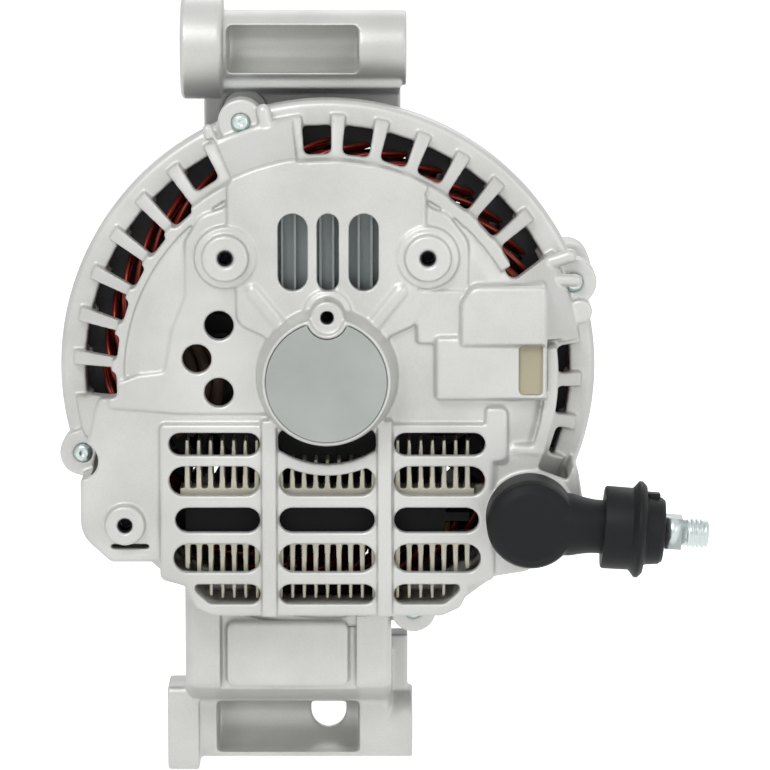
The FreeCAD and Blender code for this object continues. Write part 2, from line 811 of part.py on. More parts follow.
def inner_hole(x, z, end):
    """Cutter for the screw hole in the end of an inner post."""
    return disc(RECTIFIER_SCREW_R, rear(end + INNER_SCREW_DEPTH), rear(end - 1.0), x, z)


def rear_holes():
    """Cutters for the regulator window, vents, screw holes, bolts and terminal."""
    top = rear(BOX_HEIGHT + 5.0)
    bottom = rear(FACE_HEIGHT - WALL - 9.0)
    ear = REGULATOR_LEVEL + REGULATOR_CASE_DEPTH
    cutters = []
    for centre, width in WINDOW_SLOTS:
        cutters.append(stadium(centre - width / 2, centre + width / 2, WINDOW_BOTTOM, WINDOW_TOP,
                               4.0, PLATEAU_HEIGHT + 2.0))
    for x, z in VENT_CENTRES:
        cutters.append(disc(VENT_R, top, bottom, x, z))
    for side in (-1, 1):
        x = side * SIDE_BOSS_X
        cutters.append(blind_hole(SIDE_BOSS_HOLE_R, x, SIDE_BOSS_Z, SIDE_BOSS_HEIGHT,
                                  SIDE_BOSS_DEPTH))
        mouth = Vector(x, rear(SIDE_BOSS_HEIGHT), SIDE_BOSS_Z)
        cutters.append(Part.makeCone(SIDE_BOSS_HOLE_R + 0.8, SIDE_BOSS_HOLE_R, 0.8, mouth, AXIS))
        cutters.append(inner_hole(x, SIDE_BOSS_Z, ear))
    cutters.append(blind_hole(LOBE_BOSS_HOLE_R, LOBE_BOSS_X, LOBE_BOSS_Z, LOBE_BOSS_HEIGHT,
                              LOBE_BOSS_DEPTH))
    cutters.append(inner_hole(LOBE_BOSS_X, LOBE_BOSS_Z, SINK_LEVEL + BOARD_EAR_THICK))
    cutters.append(blind_hole(CAP_BOSS_HOLE_R, 0.2, CAP_BOSS_Z, CAP_BOSS_HEIGHT, CAP_BOSS_DEPTH))
    cutters.append(disc(CAP_BOSS_R, top, rear(CAP_BOSS_HEIGHT), 0.2, CAP_BOSS_Z))
    for x, z in bolt_centres():
        cutters.append(disc(BOLT_R + SEAT_GAP, rear(BOLT_BOSS_HEIGHT + 1.0), RIM_FRONT + 1.0, x, z))
    left_x, left_z = bolt_centres()[2]
    cutters.append(disc(BOLT_BOSS_R - 1.2, top, rear(BOLT_BOSS_HEIGHT), left_x, left_z))
    cutters.append(disc(POST_HOLE_R, top, bottom, POST_X, POST_Z))
    return cutters


def bearing_hollow():
    """Bore of the bearing box, its inner shoulder and the seat of the cap."""
    seat = disc(REAR_BEARING_R + SEAT_GAP, rear(BOX_HEIGHT + 1.0), REAR_BEARING_FRONT)
    throat = disc(REAR_BEARING_R - 2.5, REAR_BEARING_FRONT - 1.0, rear(0.0))
    return [seat, throat, cap_plate(CAP_R + SEAT_GAP, BOX_HEIGHT + 1.0)]


def hood_tunnel():
    """Tunnel for the connector socket, open to the right, and the notch over it."""
    low = rear(SOCKET_TOP_HEIGHT + SEAT_GAP)
    high = rear(SOCKET_TOP_HEIGHT - SOCKET_HEIGHT - SEAT_GAP)
    bottom = HOOD_BOTTOM + WALL / 2
    top = HOOD_MIDDLE - 0.6
    left = HOOD_RIGHT - SOCKET_LENGTH
    tunnel = block(left, HOOD_RIGHT + 20.0, low, high, bottom, top)
    notch = (
        (HOOD_NOTCH_LEFT, HOOD_BOTTOM + WALL / 2, 1.4),
        (HOOD_NOTCH_RIGHT, HOOD_BOTTOM + WALL / 2, 0.0),
        (HOOD_NOTCH_RIGHT, HOOD_MIDDLE - 0.6, 0.0),
        (HOOD_NOTCH_LEFT, HOOD_MIDDLE - 0.6, 1.4),
    )
    return [tunnel, slab(notch, SOCKET_TOP_HEIGHT - 1.0, HOOD_HEIGHT + 2.0)]


def inner_hollows():
    """Hollows under the lobes, the grille and the hood."""
    hollow_top = FACE_HEIGHT - WALL
    hood_room = (
        (HOOD_STEP_X + WALL, HOOD_MIDDLE + 1.0, 1.0),
        (HOOD_RIGHT - WALL, HOOD_MIDDLE + 1.0, 1.0),
        (HOOD_RIGHT - WALL, HOOD_TOP - WALL, 1.0),
        (HOOD_STEP_X + WALL, HOOD_TOP - WALL, 1.0),
    )
    return [
        slab(LOBE_OUTLINE, 0.0, hollow_top, WALL),
        slab(TERMINAL_OUTLINE, 0.0, hollow_top, WALL),
        slab(GRILLE_OUTLINE, 0.0, GRILLE_HEIGHT - WALL, WALL),
        slab(PLATEAU_OUTLINE, 0.0, PLATEAU_HEIGHT - WALL, WALL).common(
            disc(PLATEAU_ARC_R - WALL, rear(40.0), rear(-1.0))),
        slab(hood_room, 2.0, HOOD_HEIGHT - WALL),
    ]


def inner_pillars():
    """Posts inside the bracket that the regulator and the rectifier are screwed to."""
    pillars = []
    ear = rear(REGULATOR_LEVEL + REGULATOR_CASE_DEPTH)
    for side in (-1, 1):
        pillars.append(disc(SIDE_BOSS_R - 1.0, rear(FACE_HEIGHT - 1.0), ear,
                            side * SIDE_BOSS_X, SIDE_BOSS_Z))
    board = rear(SINK_LEVEL + BOARD_EAR_THICK)
    pillars.append(disc(LOBE_BOSS_R, rear(FACE_HEIGHT - 1.0), board, LOBE_BOSS_X, LOBE_BOSS_Z))
    return pillars


def rear_bracket():
    """Die-cast rear bracket with its air slots, grille, bosses and connector hood."""
    body = united([shell_outside()] + rear_pads() + bolt_ribs())
    hollows = united([shell_inside()] + inner_hollows())
    box_core = disc(BOX_FOOT_R - 0.5, rear(BOX_HEIGHT), rear(FACE_HEIGHT - WALL))
    sockets = block(HOOD_RIGHT - SOCKET_LENGTH - WALL, HOOD_RIGHT, rear(HOOD_LOW_HEIGHT),
                    rear(SOCKET_TOP_HEIGHT - SOCKET_HEIGHT - WALL / 2),
                    HOOD_BOTTOM, HOOD_MIDDLE + 0.6)
    hollows = hollows.cut([box_core, sockets] + inner_pillars())
    slots = united(air_slots()).cut(slot_guard())
    gap = block(-58.4, -48.6, rear(FACE_HEIGHT + 1.0), rear(6.0), -49.9, -49.1)
    cutters = [hollows, slots, gap] + grille_openings() + rear_holes() + bearing_hollow()
    body = body.cut(cutters + hood_tunnel())
    return largest(body)


def largest(shape):
    """The biggest solid of a shape."""
    return max(shape.Solids, key=lambda solid: solid.Volume)


def cap_plate(radius, height):
    """Round plate over the bearing box up to a height, notched round the small boss."""
    plate = disc(radius, rear(height), rear(BOX_HEIGHT - CAP_THICK))
    notch_r = CAP_BOSS_R + CAP_NOTCH_LIP + CAP_R - radius
    return plate.cut(disc(notch_r, rear(height + 1.0), rear(0.0), 0.2, CAP_BOSS_Z))


def rear_cap():
    """Plate that closes the bearing box."""
    return cap_plate(CAP_R, BOX_HEIGHT + 0.3)


def front_bracket():
    """Die-cast front bracket: hub, spoked face, windowed bell and bolt ears."""
    hub_face = FRONT_BEARING_FRONT + FRONT_LIP
    face = hub_face - FRONT_FACE_DROP
    hub_r = FRONT_BEARING_R + 5.0
    bell_front = FRONT_BRACKET_BACK + BELL_DEPTH
    ear_front = FRONT_BRACKET_BACK + BOLT_EAR_LENGTH
    outside = revolved((
        (0.0, hub_face, 0.0),
        (hub_r, hub_face, 2.0),
        (hub_r + 1.0, face, 2.0),
        (FRONT_FACE_R, face, 6.0),
        (FRONT_BRACKET_R, bell_front + 3.0, 6.0),
        (FRONT_BRACKET_R, FRONT_BRACKET_BACK, 0.6),
        (0.0, FRONT_BRACKET_BACK, 0.0),
    ))
    bore = STATOR_R + SEAT_GAP
    neck = STATOR_R - REGISTER_LIP
    inside = revolved((
        (0.0, FRONT_BRACKET_BACK, 0.0),
        (bore, FRONT_BRACKET_BACK, 0.0),
        (bore, STATOR_FRONT, 0.0),
        (neck, STATOR_FRONT, 0.0),
        (neck, bell_front + 1.0, 4.0),
        (FRONT_FACE_R - 1.0, face - FRONT_WALL, 4.0),
        (hub_r, face - FRONT_WALL, 1.0),
        (hub_r, FRONT_BEARING_BACK, 0.0),
        (0.0, FRONT_BEARING_BACK, 0.0),
    ))
    ears = [disc(BOLT_BOSS_R, FRONT_BRACKET_BACK, ear_front, x, z) for x, z in bolt_centres()]
    body = united([outside] + ears).cut(inside)
    seat = disc(FRONT_BEARING_R + SEAT_GAP, FRONT_BEARING_BACK - 1.0, FRONT_BEARING_FRONT)
    mouth = disc(FRONT_BEARING_BORE_R + SPACER_WALL + FREE_GAP, FRONT_BEARING_FRONT - 1.0,
                 hub_face + 1.0)
    cutters = [seat, mouth]
    cutters += [disc(BOLT_R + SEAT_GAP, FRONT_BRACKET_BACK - 1.0, ear_front + 1.0, x, z)
                for x, z in bolt_centres()]
    cutters += front_windows(face, bell_front)
    cutters += [disc(RETAINER_SCREW_R, FRONT_BEARING_BACK - 1.0, face, *centre)
                for centre in retainer_screw_centres()]
    return largest(body.cut(cutters))


def front_windows(face, bell_front):
    """Cutters for the front bracket's air openings, on its face and round its bell."""
    low = RIM_STATION
    petal = rounded_face((
        (31.0, -4.2, 2.0), (43.5, -6.2, 2.5), (43.5, 6.2, 2.5), (31.0, 4.2, 2.0),
    ), lambda x, z: Vector(x, face + 2.0, z)).extrude(Vector(0, -14.0, 0))
    gill = rounded_face((
        (50.0, -5.2, 2.0), (63.8, -6.6, 2.0), (63.8, 6.6, 2.0), (50.0, 5.2, 2.0),
    ), lambda x, z: Vector(x, face + 2.0, z)).extrude(Vector(0, bell_front - face - 9.0, 0))
    cutters = ring_of(petal, 10, BOLT_FIRST_ANGLE)
    for index in range(20):
        angle = BOLT_FIRST_ANGLE + 9.0 + index * 18.0
        cutters.append(turned(gill, angle))
    return cutters


def retainer_screw_centres():
    """X and Z of the screws of the front bearing's retainer."""
    radius = FRONT_BEARING_R + 2.7
    step = 360.0 / RETAINER_SCREW_COUNT
    return [polar(radius, 45.0 + step * index) for index in range(RETAINER_SCREW_COUNT)]


def bearing_retainer():
    """Plate that keeps the front bearing in its seat."""
    back = FRONT_BEARING_BACK - RETAINER_THICK
    plate = tube(FRONT_BEARING_R + 4.6, FRONT_BEARING_R * 0.74, back, FRONT_BEARING_BACK)
    holes = [disc(RETAINER_SCREW_R, back, FRONT_BEARING_BACK, *centre)
             for centre in retainer_screw_centres()]
    return plate.cut(holes)


def retainer_screws():
    """Screws of the retainer, heads inside the bracket."""
    back = FRONT_BEARING_BACK - RETAINER_THICK
    screws = []
    for centre in retainer_screw_centres():
        head = disc(RETAINER_SCREW_R + 1.5, back - 1.4, back, *centre)
        screws.append(head.fuse(disc(RETAINER_SCREW_R - SEAT_GAP, back, back + 8.0, *centre)))
    return Part.makeCompound(screws)


def through_bolts():
    """Four long bolts that clamp the brackets on the stator."""
    ear_front = FRONT_BRACKET_BACK + BOLT_EAR_LENGTH
    bolts = []
    for x, z in bolt_centres():
        shank = disc(BOLT_R, rear(BOLT_BOSS_HEIGHT + 0.5), ear_front, x, z)
        tip = [edge for edge in shank.Edges if abs(edge.BoundBox.YMax - rear(
            BOLT_BOSS_HEIGHT + 0.5)) < 1e-6]
        shank = shank.makeChamfer(0.4, tip)
        bolts.append(shank.fuse(hexagon(BOLT_HEAD_R * math.sqrt(3), ear_front,
                                        ear_front + BOLT_HEAD_THICK, x, z)))
    return Part.makeCompound(bolts)


def bar_along_x(radius, x_low, x_high, y, z):
    """Round bar along X."""
    return Part.makeCylinder(radius, x_high - x_low, Vector(x_low, y, z), Vector(1, 0, 0))


def barrel_hollow(left, right, window_left, window_right, window_half, radius, y, z):
    """Cutter for a barrel: bolt bore, wide middle, and the rectangular window at the rear."""
    bore = bar_along_x(BARREL_BORE_R, left - 1.0, right + 1.0, y, z)
    relief = bar_along_x(BARREL_RELIEF_R, window_left, window_right, y, z)
    corners = (
        (window_left, z - window_half, 1.4),
        (window_right, z - window_half, 1.4),
        (window_right, z + window_half, 1.4),
        (window_left, z + window_half, 1.4),
    )
    window = plan_face(corners, y - radius - 1.0).extrude(Vector(0, radius + 1.0, 0))
    return [bore, relief, window]


def upper_mount_lug():
    """Barrel, collar and web on top of the front bracket."""
    y, z = UPPER_STATION, UPPER_Z
    barrel = bar_along_x(UPPER_R, UPPER_COLLAR_END, UPPER_RIGHT, y, z)
    collar = bar_along_x(UPPER_COLLAR_R, UPPER_LEFT, UPPER_COLLAR_END, y, z)
    rims = [edge for edge in collar.Edges if edge.BoundBox.XLength < 1e-6]
    collar = collar.makeChamfer(0.8, rims)
    web_back = y - UPPER_R * 0.62
    web_front = FRONT_BRACKET_BACK + BELL_DEPTH - 2.0
    side = [
        (web_back, z), (web_back, RIM_R + 1.5), (FRONT_BRACKET_BACK - 0.3, FRONT_BRACKET_R + 3.5),
        (FRONT_BRACKET_BACK, 55.0), (web_front, 55.0), (web_front, FRONT_BRACKET_R + 3.0),
        (y + UPPER_R * 0.8, z),
    ]
    points = [Vector(UPPER_WEB_LEFT, py, pz) for py, pz in side]
    web = Part.Face(Part.makePolygon(points + points[:1]))
    web = web.extrude(Vector(UPPER_WEB_RIGHT - UPPER_WEB_LEFT, 0, 0))
    body = united([barrel, collar, web])
    cutters = barrel_hollow(UPPER_LEFT, UPPER_RIGHT, UPPER_WINDOW_LEFT, UPPER_WINDOW_RIGHT,
                            UPPER_WINDOW_HALF, UPPER_R, y, z)
    cutters.append(disc(FRONT_BRACKET_R, FRONT_BRACKET_BACK - 30.0, web_front + 10.0))
    cutters += [disc(BOLT_BOSS_R, FRONT_BRACKET_BACK - 1.0, web_front + 10.0, bx, bz)
                for bx, bz in bolt_centres()]
    return largest(body.cut(cutters))


def lower_mount_lug():
    """Leg below the rear bracket with its barrel, collar, window and drain hole."""
    y, z = LOWER_STATION, LOWER_Z
    barrel = bar_along_x(LOWER_R, LOWER_COLLAR_END, LOWER_RIGHT, y, z)
    collar_side = (
        (y - LOWER_COLLAR_R, z - LOWER_COLLAR_R, 3.0),
        (y + LOWER_COLLAR_R, z - LOWER_COLLAR_R, 9.0),
        (y + LOWER_COLLAR_R, z + LOWER_COLLAR_R, 9.0),
        (y - LOWER_COLLAR_R, z + LOWER_COLLAR_R, 2.0),
    )
    collar = rounded_face(collar_side, lambda a, b: Vector(LOWER_LEFT, a, b))
    collar = collar.extrude(Vector(LOWER_COLLAR_END - LOWER_LEFT, 0, 0))
    face = rear(LEG_FACE_HEIGHT)
    side = (
        (face, -55.0, 0.0), (face, LEG_PANEL_BOTTOM, 3.0), (y - LOWER_R, z + 8.0, 4.0),
        (y - LOWER_R, z, 0.0), (y + LOWER_R * 0.7, z, 0.0), (y + LOWER_R * 0.7, z + 12.0, 4.0),
        (RIM_FRONT, -76.0, 2.0), (RIM_FRONT, -55.0, 0.0),
    )
    leg = rounded_face(side, lambda a, b: Vector(LEG_LEFT, a, b))
    leg = leg.extrude(Vector(LEG_RIGHT - LEG_LEFT, 0, 0))
    long_edges = [edge for edge in leg.Edges
                  if edge.BoundBox.XLength < 1e-6 and edge.BoundBox.YMax < face + 12.0]
    leg = leg.makeFillet(2.6, long_edges)
    pocket = (
        (LEG_LEFT + LEG_COLUMN, -50.0, 0.0), (LEG_LEFT + LEG_COLUMN, LEG_PANEL_BOTTOM - 4.6, 2.5),
        (LEG_RIGHT - LEG_COLUMN, LEG_PANEL_BOTTOM - 4.6, 2.5), (LEG_RIGHT - LEG_COLUMN, -50.0, 0.0),
    )
    pocket = plan_face(pocket, face - 1.0).extrude(Vector(0, 3.8, 0))
    panel = (
        (LEG_PANEL_LEFT, LEG_PANEL_BOTTOM, 2.2), (LEG_PANEL_RIGHT, LEG_PANEL_BOTTOM, 2.2),
        (LEG_PANEL_RIGHT, -71.5, 2.4), (LEG_PANEL_LEFT, -71.5, 2.4),
    )
    panel = soft_slab(panel, LEG_FACE_HEIGHT - 4.0, LEG_FACE_HEIGHT + 0.4)
    heel = block(LEG_RIGHT - 1.0, LEG_RIGHT + 4.6, y - 4.0, y + 6.0, LOWER_Z, -79.7)
    body = united([leg.cut(pocket), panel, barrel, collar, heel])
    cutters = barrel_hollow(LOWER_LEFT, LOWER_RIGHT, LOWER_WINDOW_LEFT, LOWER_WINDOW_RIGHT,
                            LOWER_WINDOW_HALF, LOWER_R, y, z)
    cutters.append(shell_outside())
    cutters.append(slab(GRILLE_OUTLINE, 0.0, GRILLE_HEIGHT))
    cutters.append(disc(FRONT_BRACKET_R + 1.0, RIM_FRONT, FRONT_BRACKET_BACK))
    cutters += [disc(BOLT_BOSS_R, rear(BOLT_BOSS_HEIGHT), RIM_FRONT, bx, bz)
                for bx, bz in bolt_centres()]
    cutters.append(back_hole(y, z))
    return largest(body.cut(cutters))


def back_hole(y, z):
    """Hole with a flat top through the back wall of the lower barrel."""
    middle = (BACK_HOLE_LEFT + BACK_HOLE_RIGHT) / 2
    radius = (BACK_HOLE_RIGHT - BACK_HOLE_LEFT) / 2
    centre = z + BACK_HOLE_TOP - 2.6
    round_part = disc(radius, y, y + LOWER_R + 8.0, middle, centre)
    top = block(BACK_HOLE_LEFT, BACK_HOLE_RIGHT, y, y + LOWER_R + 8.0, centre, z + BACK_HOLE_TOP)
    above = block(BACK_HOLE_LEFT, BACK_HOLE_RIGHT, y, y + LOWER_R + 8.0, z + BACK_HOLE_TOP,
                  z + BACK_HOLE_TOP + 6.0)
    return round_part.fuse(top).cut(above)


def stator_core():
    """Laminated ring with slots for the winding."""
    ring = tube(STATOR_R, STATOR_BORE_R, STATOR_BACK, STATOR_FRONT)
    start = STATOR_BORE_R + STATOR_LIP
    slot = block(start, start + STATOR_SLOT_DEPTH, STATOR_BACK, STATOR_FRONT,
                 -STATOR_SLOT_WIDTH / 2, STATOR_SLOT_WIDTH / 2)
    mouth = block(STATOR_BORE_R - 1.0, start + 0.1, STATOR_BACK, STATOR_FRONT,
                  -STATOR_MOUTH_WIDTH / 2, STATOR_MOUTH_WIDTH / 2)
    return ring.cut(ring_of(slot.fuse(mouth), STATOR_SLOTS))


def winding_end(y_near, direction):
    """Bundle of coil ends at one face of the stator."""
    inner = STATOR_BORE_R + STATOR_LIP + 0.4
    outer = inner + WINDING_THICK
    far = y_near + direction * WINDING_OVERHANG
    return revolved((
        (inner, y_near, 0.0),
        (outer, y_near, 0.0),
        (outer, far, 4.0),
        (inner + 1.5, far, 4.0),
    ))


def stator_winding():
    """Coil ends at both faces, joined by the coil sides in the slots."""
    start = STATOR_BORE_R + STATOR_LIP
    side = block(start + 1.0, start + STATOR_SLOT_DEPTH - 1.0, STATOR_BACK - 1.0,
                 STATOR_FRONT + 1.0, -STATOR_SLOT_WIDTH / 2 + 0.3, STATOR_SLOT_WIDTH / 2 - 0.3)
    ends = [winding_end(STATOR_BACK, -1), winding_end(STATOR_FRONT, 1)]
    return united(ends + ring_of(side, STATOR_SLOTS))


def rotor_shaft():
    """Stepped shaft from the thread at the pulley to the slip rings."""
    front = PULLEY_FRONT - PULLEY_RECESS_DEPTH + WASHER_THICK + NUT_THICK + SHAFT_STICKOUT
    seat = FRONT_BEARING_BORE_R
    fan_back = CLAW_BACK - FAN_PLATE
    tail = REAR_BEARING_BORE_R
    return revolved((
        (0.0, front, 0.0),
        (seat - 0.5, front, 0.8),
        (seat - 0.5, PULLEY_FRONT - PULLEY_RECESS_DEPTH, 0.0),
        (seat, PULLEY_FRONT - PULLEY_RECESS_DEPTH, 0.0),
        (seat, FRONT_BEARING_BACK, 0.0),
        (ROTOR_CORE_R - 0.5, FRONT_BEARING_BACK, 0.0),
        (ROTOR_CORE_R - 0.5, CLAW_FRONT + FAN_PLATE, 0.0),
        (ROTOR_CORE_R, CLAW_FRONT + FAN_PLATE, 0.0),
        (ROTOR_CORE_R, fan_back, 0.0),
        (ROTOR_CORE_R - 2.5, fan_back, 0.0),
        (ROTOR_CORE_R - 2.5, rear(SLIP_RING_FIRST - 1.5), 0.0),
        (tail, rear(SLIP_RING_FIRST - 1.5), 0.0),
        (tail, REAR_BEARING_BACK + 0.5, 0.4),
        (0.0, REAR_BEARING_BACK + 0.5, 0.0),
    ))


def claw_pole(face, direction, first):
    """Half of the rotor: a disc with six tapered fingers bent along the axis."""
    disc_end = face + direction * CLAW_DISC
    tip = face + direction * (CLAW_LENGTH - 1.5)
    low, high = sorted((face, disc_end))
    plate = tube(CLAW_DISC_R, ROTOR_CORE_R, low, high)
    outline = [
        Vector(-CLAW_ROOT_WIDTH / 2, face, ROTOR_CORE_R + 6.0),
        Vector(CLAW_ROOT_WIDTH / 2, face, ROTOR_CORE_R + 6.0),
        Vector(CLAW_ROOT_WIDTH / 2, disc_end, ROTOR_CORE_R + 6.0),
        Vector(CLAW_TIP_WIDTH / 2, tip, ROTOR_CORE_R + 6.0),
        Vector(-CLAW_TIP_WIDTH / 2, tip, ROTOR_CORE_R + 6.0),
        Vector(-CLAW_ROOT_WIDTH / 2, disc_end, ROTOR_CORE_R + 6.0),
    ]
    finger = Part.Face(Part.makePolygon(outline + outline[:1])).extrude(Vector(0, 0, ROTOR_R))
    low, high = sorted((face, tip))
    inner = Part.makeCone(CLAW_DISC_R, ROTOR_R - CLAW_THICK / 2.5,
                          abs(tip - disc_end) + 1.0, Vector(0, disc_end, 0),
                          Vector(0, direction, 0))
    finger = finger.common(disc(ROTOR_R, low, high)).cut(inner)
    fingers = [turned(finger, first + index * 360.0 / CLAW_FINGERS)
               for index in range(CLAW_FINGERS)]
    return united([plate] + fingers)


def field_space():
    """Y limits of the room between the claw-pole discs."""
    return CLAW_BACK + CLAW_DISC, CLAW_FRONT - CLAW_DISC


def field_bobbin():
    """Flanged plastic bobbin on the shaft between the claw-pole discs."""
    low, high = field_space()
    inner = ROTOR_CORE_R
    outer = CLAW_DISC_R - 1.5
    body = tube(outer, inner, low, high)
    room = tube(outer + 1.0, inner + BOBBIN_WALL, low + BOBBIN_WALL, high - BOBBIN_WALL)
    return body.cut(room)


def field_winding():
    """Copper wound on the bobbin."""
    low, high = field_space()
    return tube(CLAW_DISC_R - 2.0, ROTOR_CORE_R + BOBBIN_WALL, low + BOBBIN_WALL,
                high - BOBBIN_WALL)


def fan(face, direction):
    """Pressed steel fan: a plate on the claw pole's face with curved blades."""
    plate_end = face + direction * FAN_PLATE
    blade_end = plate_end + direction * FAN_BLADE_HEIGHT
    low, high = sorted((face, plate_end))
    plate = tube(FAN_BLADE_ROOT_R + 4.0, ROTOR_CORE_R, low, high)
    arcs = []
    for offset in (0.0, BLADE_THICK):
        points = []
        for radius, angle in ((FAN_BLADE_ROOT_R, 0.0), (37.0, 7.0), (FAN_R, 21.0)):
            x, z = polar(radius, angle)
            points.append(Vector(x, plate_end, z + offset))
        arcs.append(points)
    near, far = arcs
    edges = [
        Part.Arc(*near).toShape(),
        Part.makeLine(near[2], far[2]),
        Part.Arc(*far).toShape(),
        Part.makeLine(far[0], near[0]),
    ]
    blade = Part.Face(Part.Wire(Part.__sortEdges__(edges)))
    blade = blade.extrude(Vector(0, blade_end - plate_end, 0))
    tab = Part.Face(Part.makePolygon([
        Vector(*point) for point in fan_tab_points(face)
    ])).extrude(Vector(0, plate_end - face, 0))
    blades = ring_of(blade, FAN_BLADES)
    return united([plate] + blades + ring_of(tab, FAN_BLADES))


def fan_tab_points(y):
    """Foot of a fan blade, the part of the plate that carries it."""
    spots = [polar(FAN_BLADE_ROOT_R, -9.0), polar(38.0, -3.0), polar(FAN_R, 18.0),
             polar(FAN_R, 22.5), polar(38.0, 10.5), polar(FAN_BLADE_ROOT_R, 6.0)]
    points = [(x, y, z) for x, z in spots]
    return points + points[:1]


def ring_heights():
    """Low and high height of each slip ring."""
    first = SLIP_RING_FIRST
    return [(first, first + SLIP_RING_WIDTH),
            (first + SLIP_RING_PITCH, first + SLIP_RING_PITCH + SLIP_RING_WIDTH)]


def slip_rings():
    """Two copper rings."""
    inner = SLIP_RING_R - SLIP_RING_THICK
    rings = [tube(SLIP_RING_R, inner, rear(high), rear(low)) for low, high in ring_heights()]
    return Part.makeCompound(rings)


def slip_ring_insulator():
    """Moulded sleeve between the shaft and the slip rings, with a rib between the rings."""
    heights = ring_heights()
    low = heights[0][0] - 1.0
    high = heights[1][1] + 1.0
    sleeve = tube(SLIP_RING_R - SLIP_RING_THICK, REAR_BEARING_BORE_R, rear(high), rear(low))
    middle = tube(SLIP_RING_R + 0.2, REAR_BEARING_BORE_R, rear(heights[1][0]),
                  rear(heights[0][1]))
    return sleeve.fuse(middle)


def bearing(front, width, bore, radius, ball_r, count):
    """Outer race, inner race, balls, cage and seals of a ball bearing."""
    back = front - width
    middle = (front + back) / 2
    pitch = (bore + radius) / 2
    outer_wall = radius * RACE_WALL_SHARE
    groove = Part.makeTorus(pitch, ball_r + TURN_GAP, Vector(0, middle, 0), AXIS)
    outer = tube(radius, radius - outer_wall, back, front).cut(groove)
    inner = tube(bore + outer_wall, bore, back, front).cut(groove)
    ball = Part.makeSphere(ball_r, Vector(pitch, middle, 0))
    balls = Part.makeCompound(ring_of(ball, count))
    pocket = Part.makeCylinder(ball_r + TURN_GAP, 4 * CAGE_THICK,
                               Vector(pitch - 2 * CAGE_THICK, middle, 0), Vector(1, 0, 0))
    half = ball_r + CAGE_RIM
    cage = tube(pitch + CAGE_THICK / 2, pitch - CAGE_THICK / 2, middle - half, middle + half)
    cage = cage.cut(ring_of(pocket, count))
    seal_outer = radius - outer_wall
    seal_inner = bore + outer_wall + 2 * TURN_GAP
    seals = Part.makeCompound([
        tube(seal_outer, seal_inner, back + 0.2, back + 0.2 + SEAL_THICK),
        tube(seal_outer, seal_inner, front - 0.2 - SEAL_THICK, front - 0.2),
    ])
    return outer, inner, balls, cage, seals


def pulley():
    """Ribbed belt pulley with a recess for the nut."""
    hub_r = FRONT_BEARING_BORE_R + SPACER_WALL + 1.0
    web = PULLEY_BACK + PULLEY_BACK_DEPTH
    profile = [
        (FRONT_BEARING_BORE_R, PULLEY_BACK, 0.0),
        (hub_r, PULLEY_BACK, 0.0),
        (hub_r, web, 1.5),
        (PULLEY_BACK_R, web, 1.5),
        (PULLEY_BACK_R, PULLEY_BACK, 0.0),
        (PULLEY_R, PULLEY_BACK, 0.6),
    ]
    start = -GROOVE_COUNT * GROOVE_PITCH / 2
    for index in range(GROOVE_COUNT):
        low = start + index * GROOVE_PITCH
        profile.append((PULLEY_R, low + 0.3, 0.0))
        profile.append((PULLEY_R - GROOVE_DEPTH, low + GROOVE_PITCH / 2 - 0.25, 0.0))
        profile.append((PULLEY_R - GROOVE_DEPTH, low + GROOVE_PITCH / 2 + 0.25, 0.0))
        profile.append((PULLEY_R, low + GROOVE_PITCH - 0.3, 0.0))
    profile.append((PULLEY_R, PULLEY_FRONT, 0.6))
    profile.append((PULLEY_RECESS_R, PULLEY_FRONT, 0.8))
    profile.append((PULLEY_RECESS_R, PULLEY_FRONT - PULLEY_RECESS_DEPTH, 1.0))
    profile.append((FRONT_BEARING_BORE_R, PULLEY_FRONT - PULLEY_RECESS_DEPTH, 0.0))
    return revolved(profile)


def pulley_spacer():
    """Tube between the front bearing's inner race and the pulley."""
    return tube(FRONT_BEARING_BORE_R + SPACER_WALL, FRONT_BEARING_BORE_R, FRONT_BEARING_FRONT,
                PULLEY_BACK)


def pulley_washer():
    """Spring washer under the shaft nut."""
    seat = PULLEY_FRONT - PULLEY_RECESS_DEPTH
    return tube(WASHER_R, FRONT_BEARING_BORE_R - 0.5, seat, seat + WASHER_THICK)


def pulley_nut():
    """Hexagon nut on the shaft's thread."""
    low = PULLEY_FRONT - PULLEY_RECESS_DEPTH + WASHER_THICK
    high = low + NUT_THICK
    nut = hexagon(NUT_FLATS, low, high)
    corner = NUT_FLATS / math.sqrt(3)
    crown = Part.makeCone(corner + 2.0, NUT_FLATS / 2, 4.0, Vector(0, high - 3.6, 0), AXIS)
    nut = nut.common(crown.fuse(disc(corner + 2.0, low, high - 3.6)))
    return nut.cut(disc(FRONT_BEARING_BORE_R - 0.5, low, high))


def sink_room():
    """Room inside the grille box that the heat sinks keep to."""
    return slab(GRILLE_OUTLINE, SINK_LEVEL, SINK_LEVEL + SINK_DEPTH, WALL + FREE_GAP)


def finned_sink(base, tip, fin_side):
    """Aluminium bar with upright fins on one side."""
    low = rear(SINK_LEVEL + SINK_DEPTH)
    high = rear(SINK_LEVEL)
    base_low, base_high = sorted((base, base - fin_side * SINK_BASE_THICK))
    bar = block(-SINK_HALF, SINK_HALF, low, high, base_low, base_high)
    fins = []
    count = int(SINK_HALF / FIN_PITCH)
    fin_low, fin_high = sorted((base, tip))
    for index in range(-count, count + 1):
        x = index * FIN_PITCH
        fins.append(block(x - FIN_THICK / 2, x + FIN_THICK / 2, low, high, fin_low, fin_high))
    return bar, fins


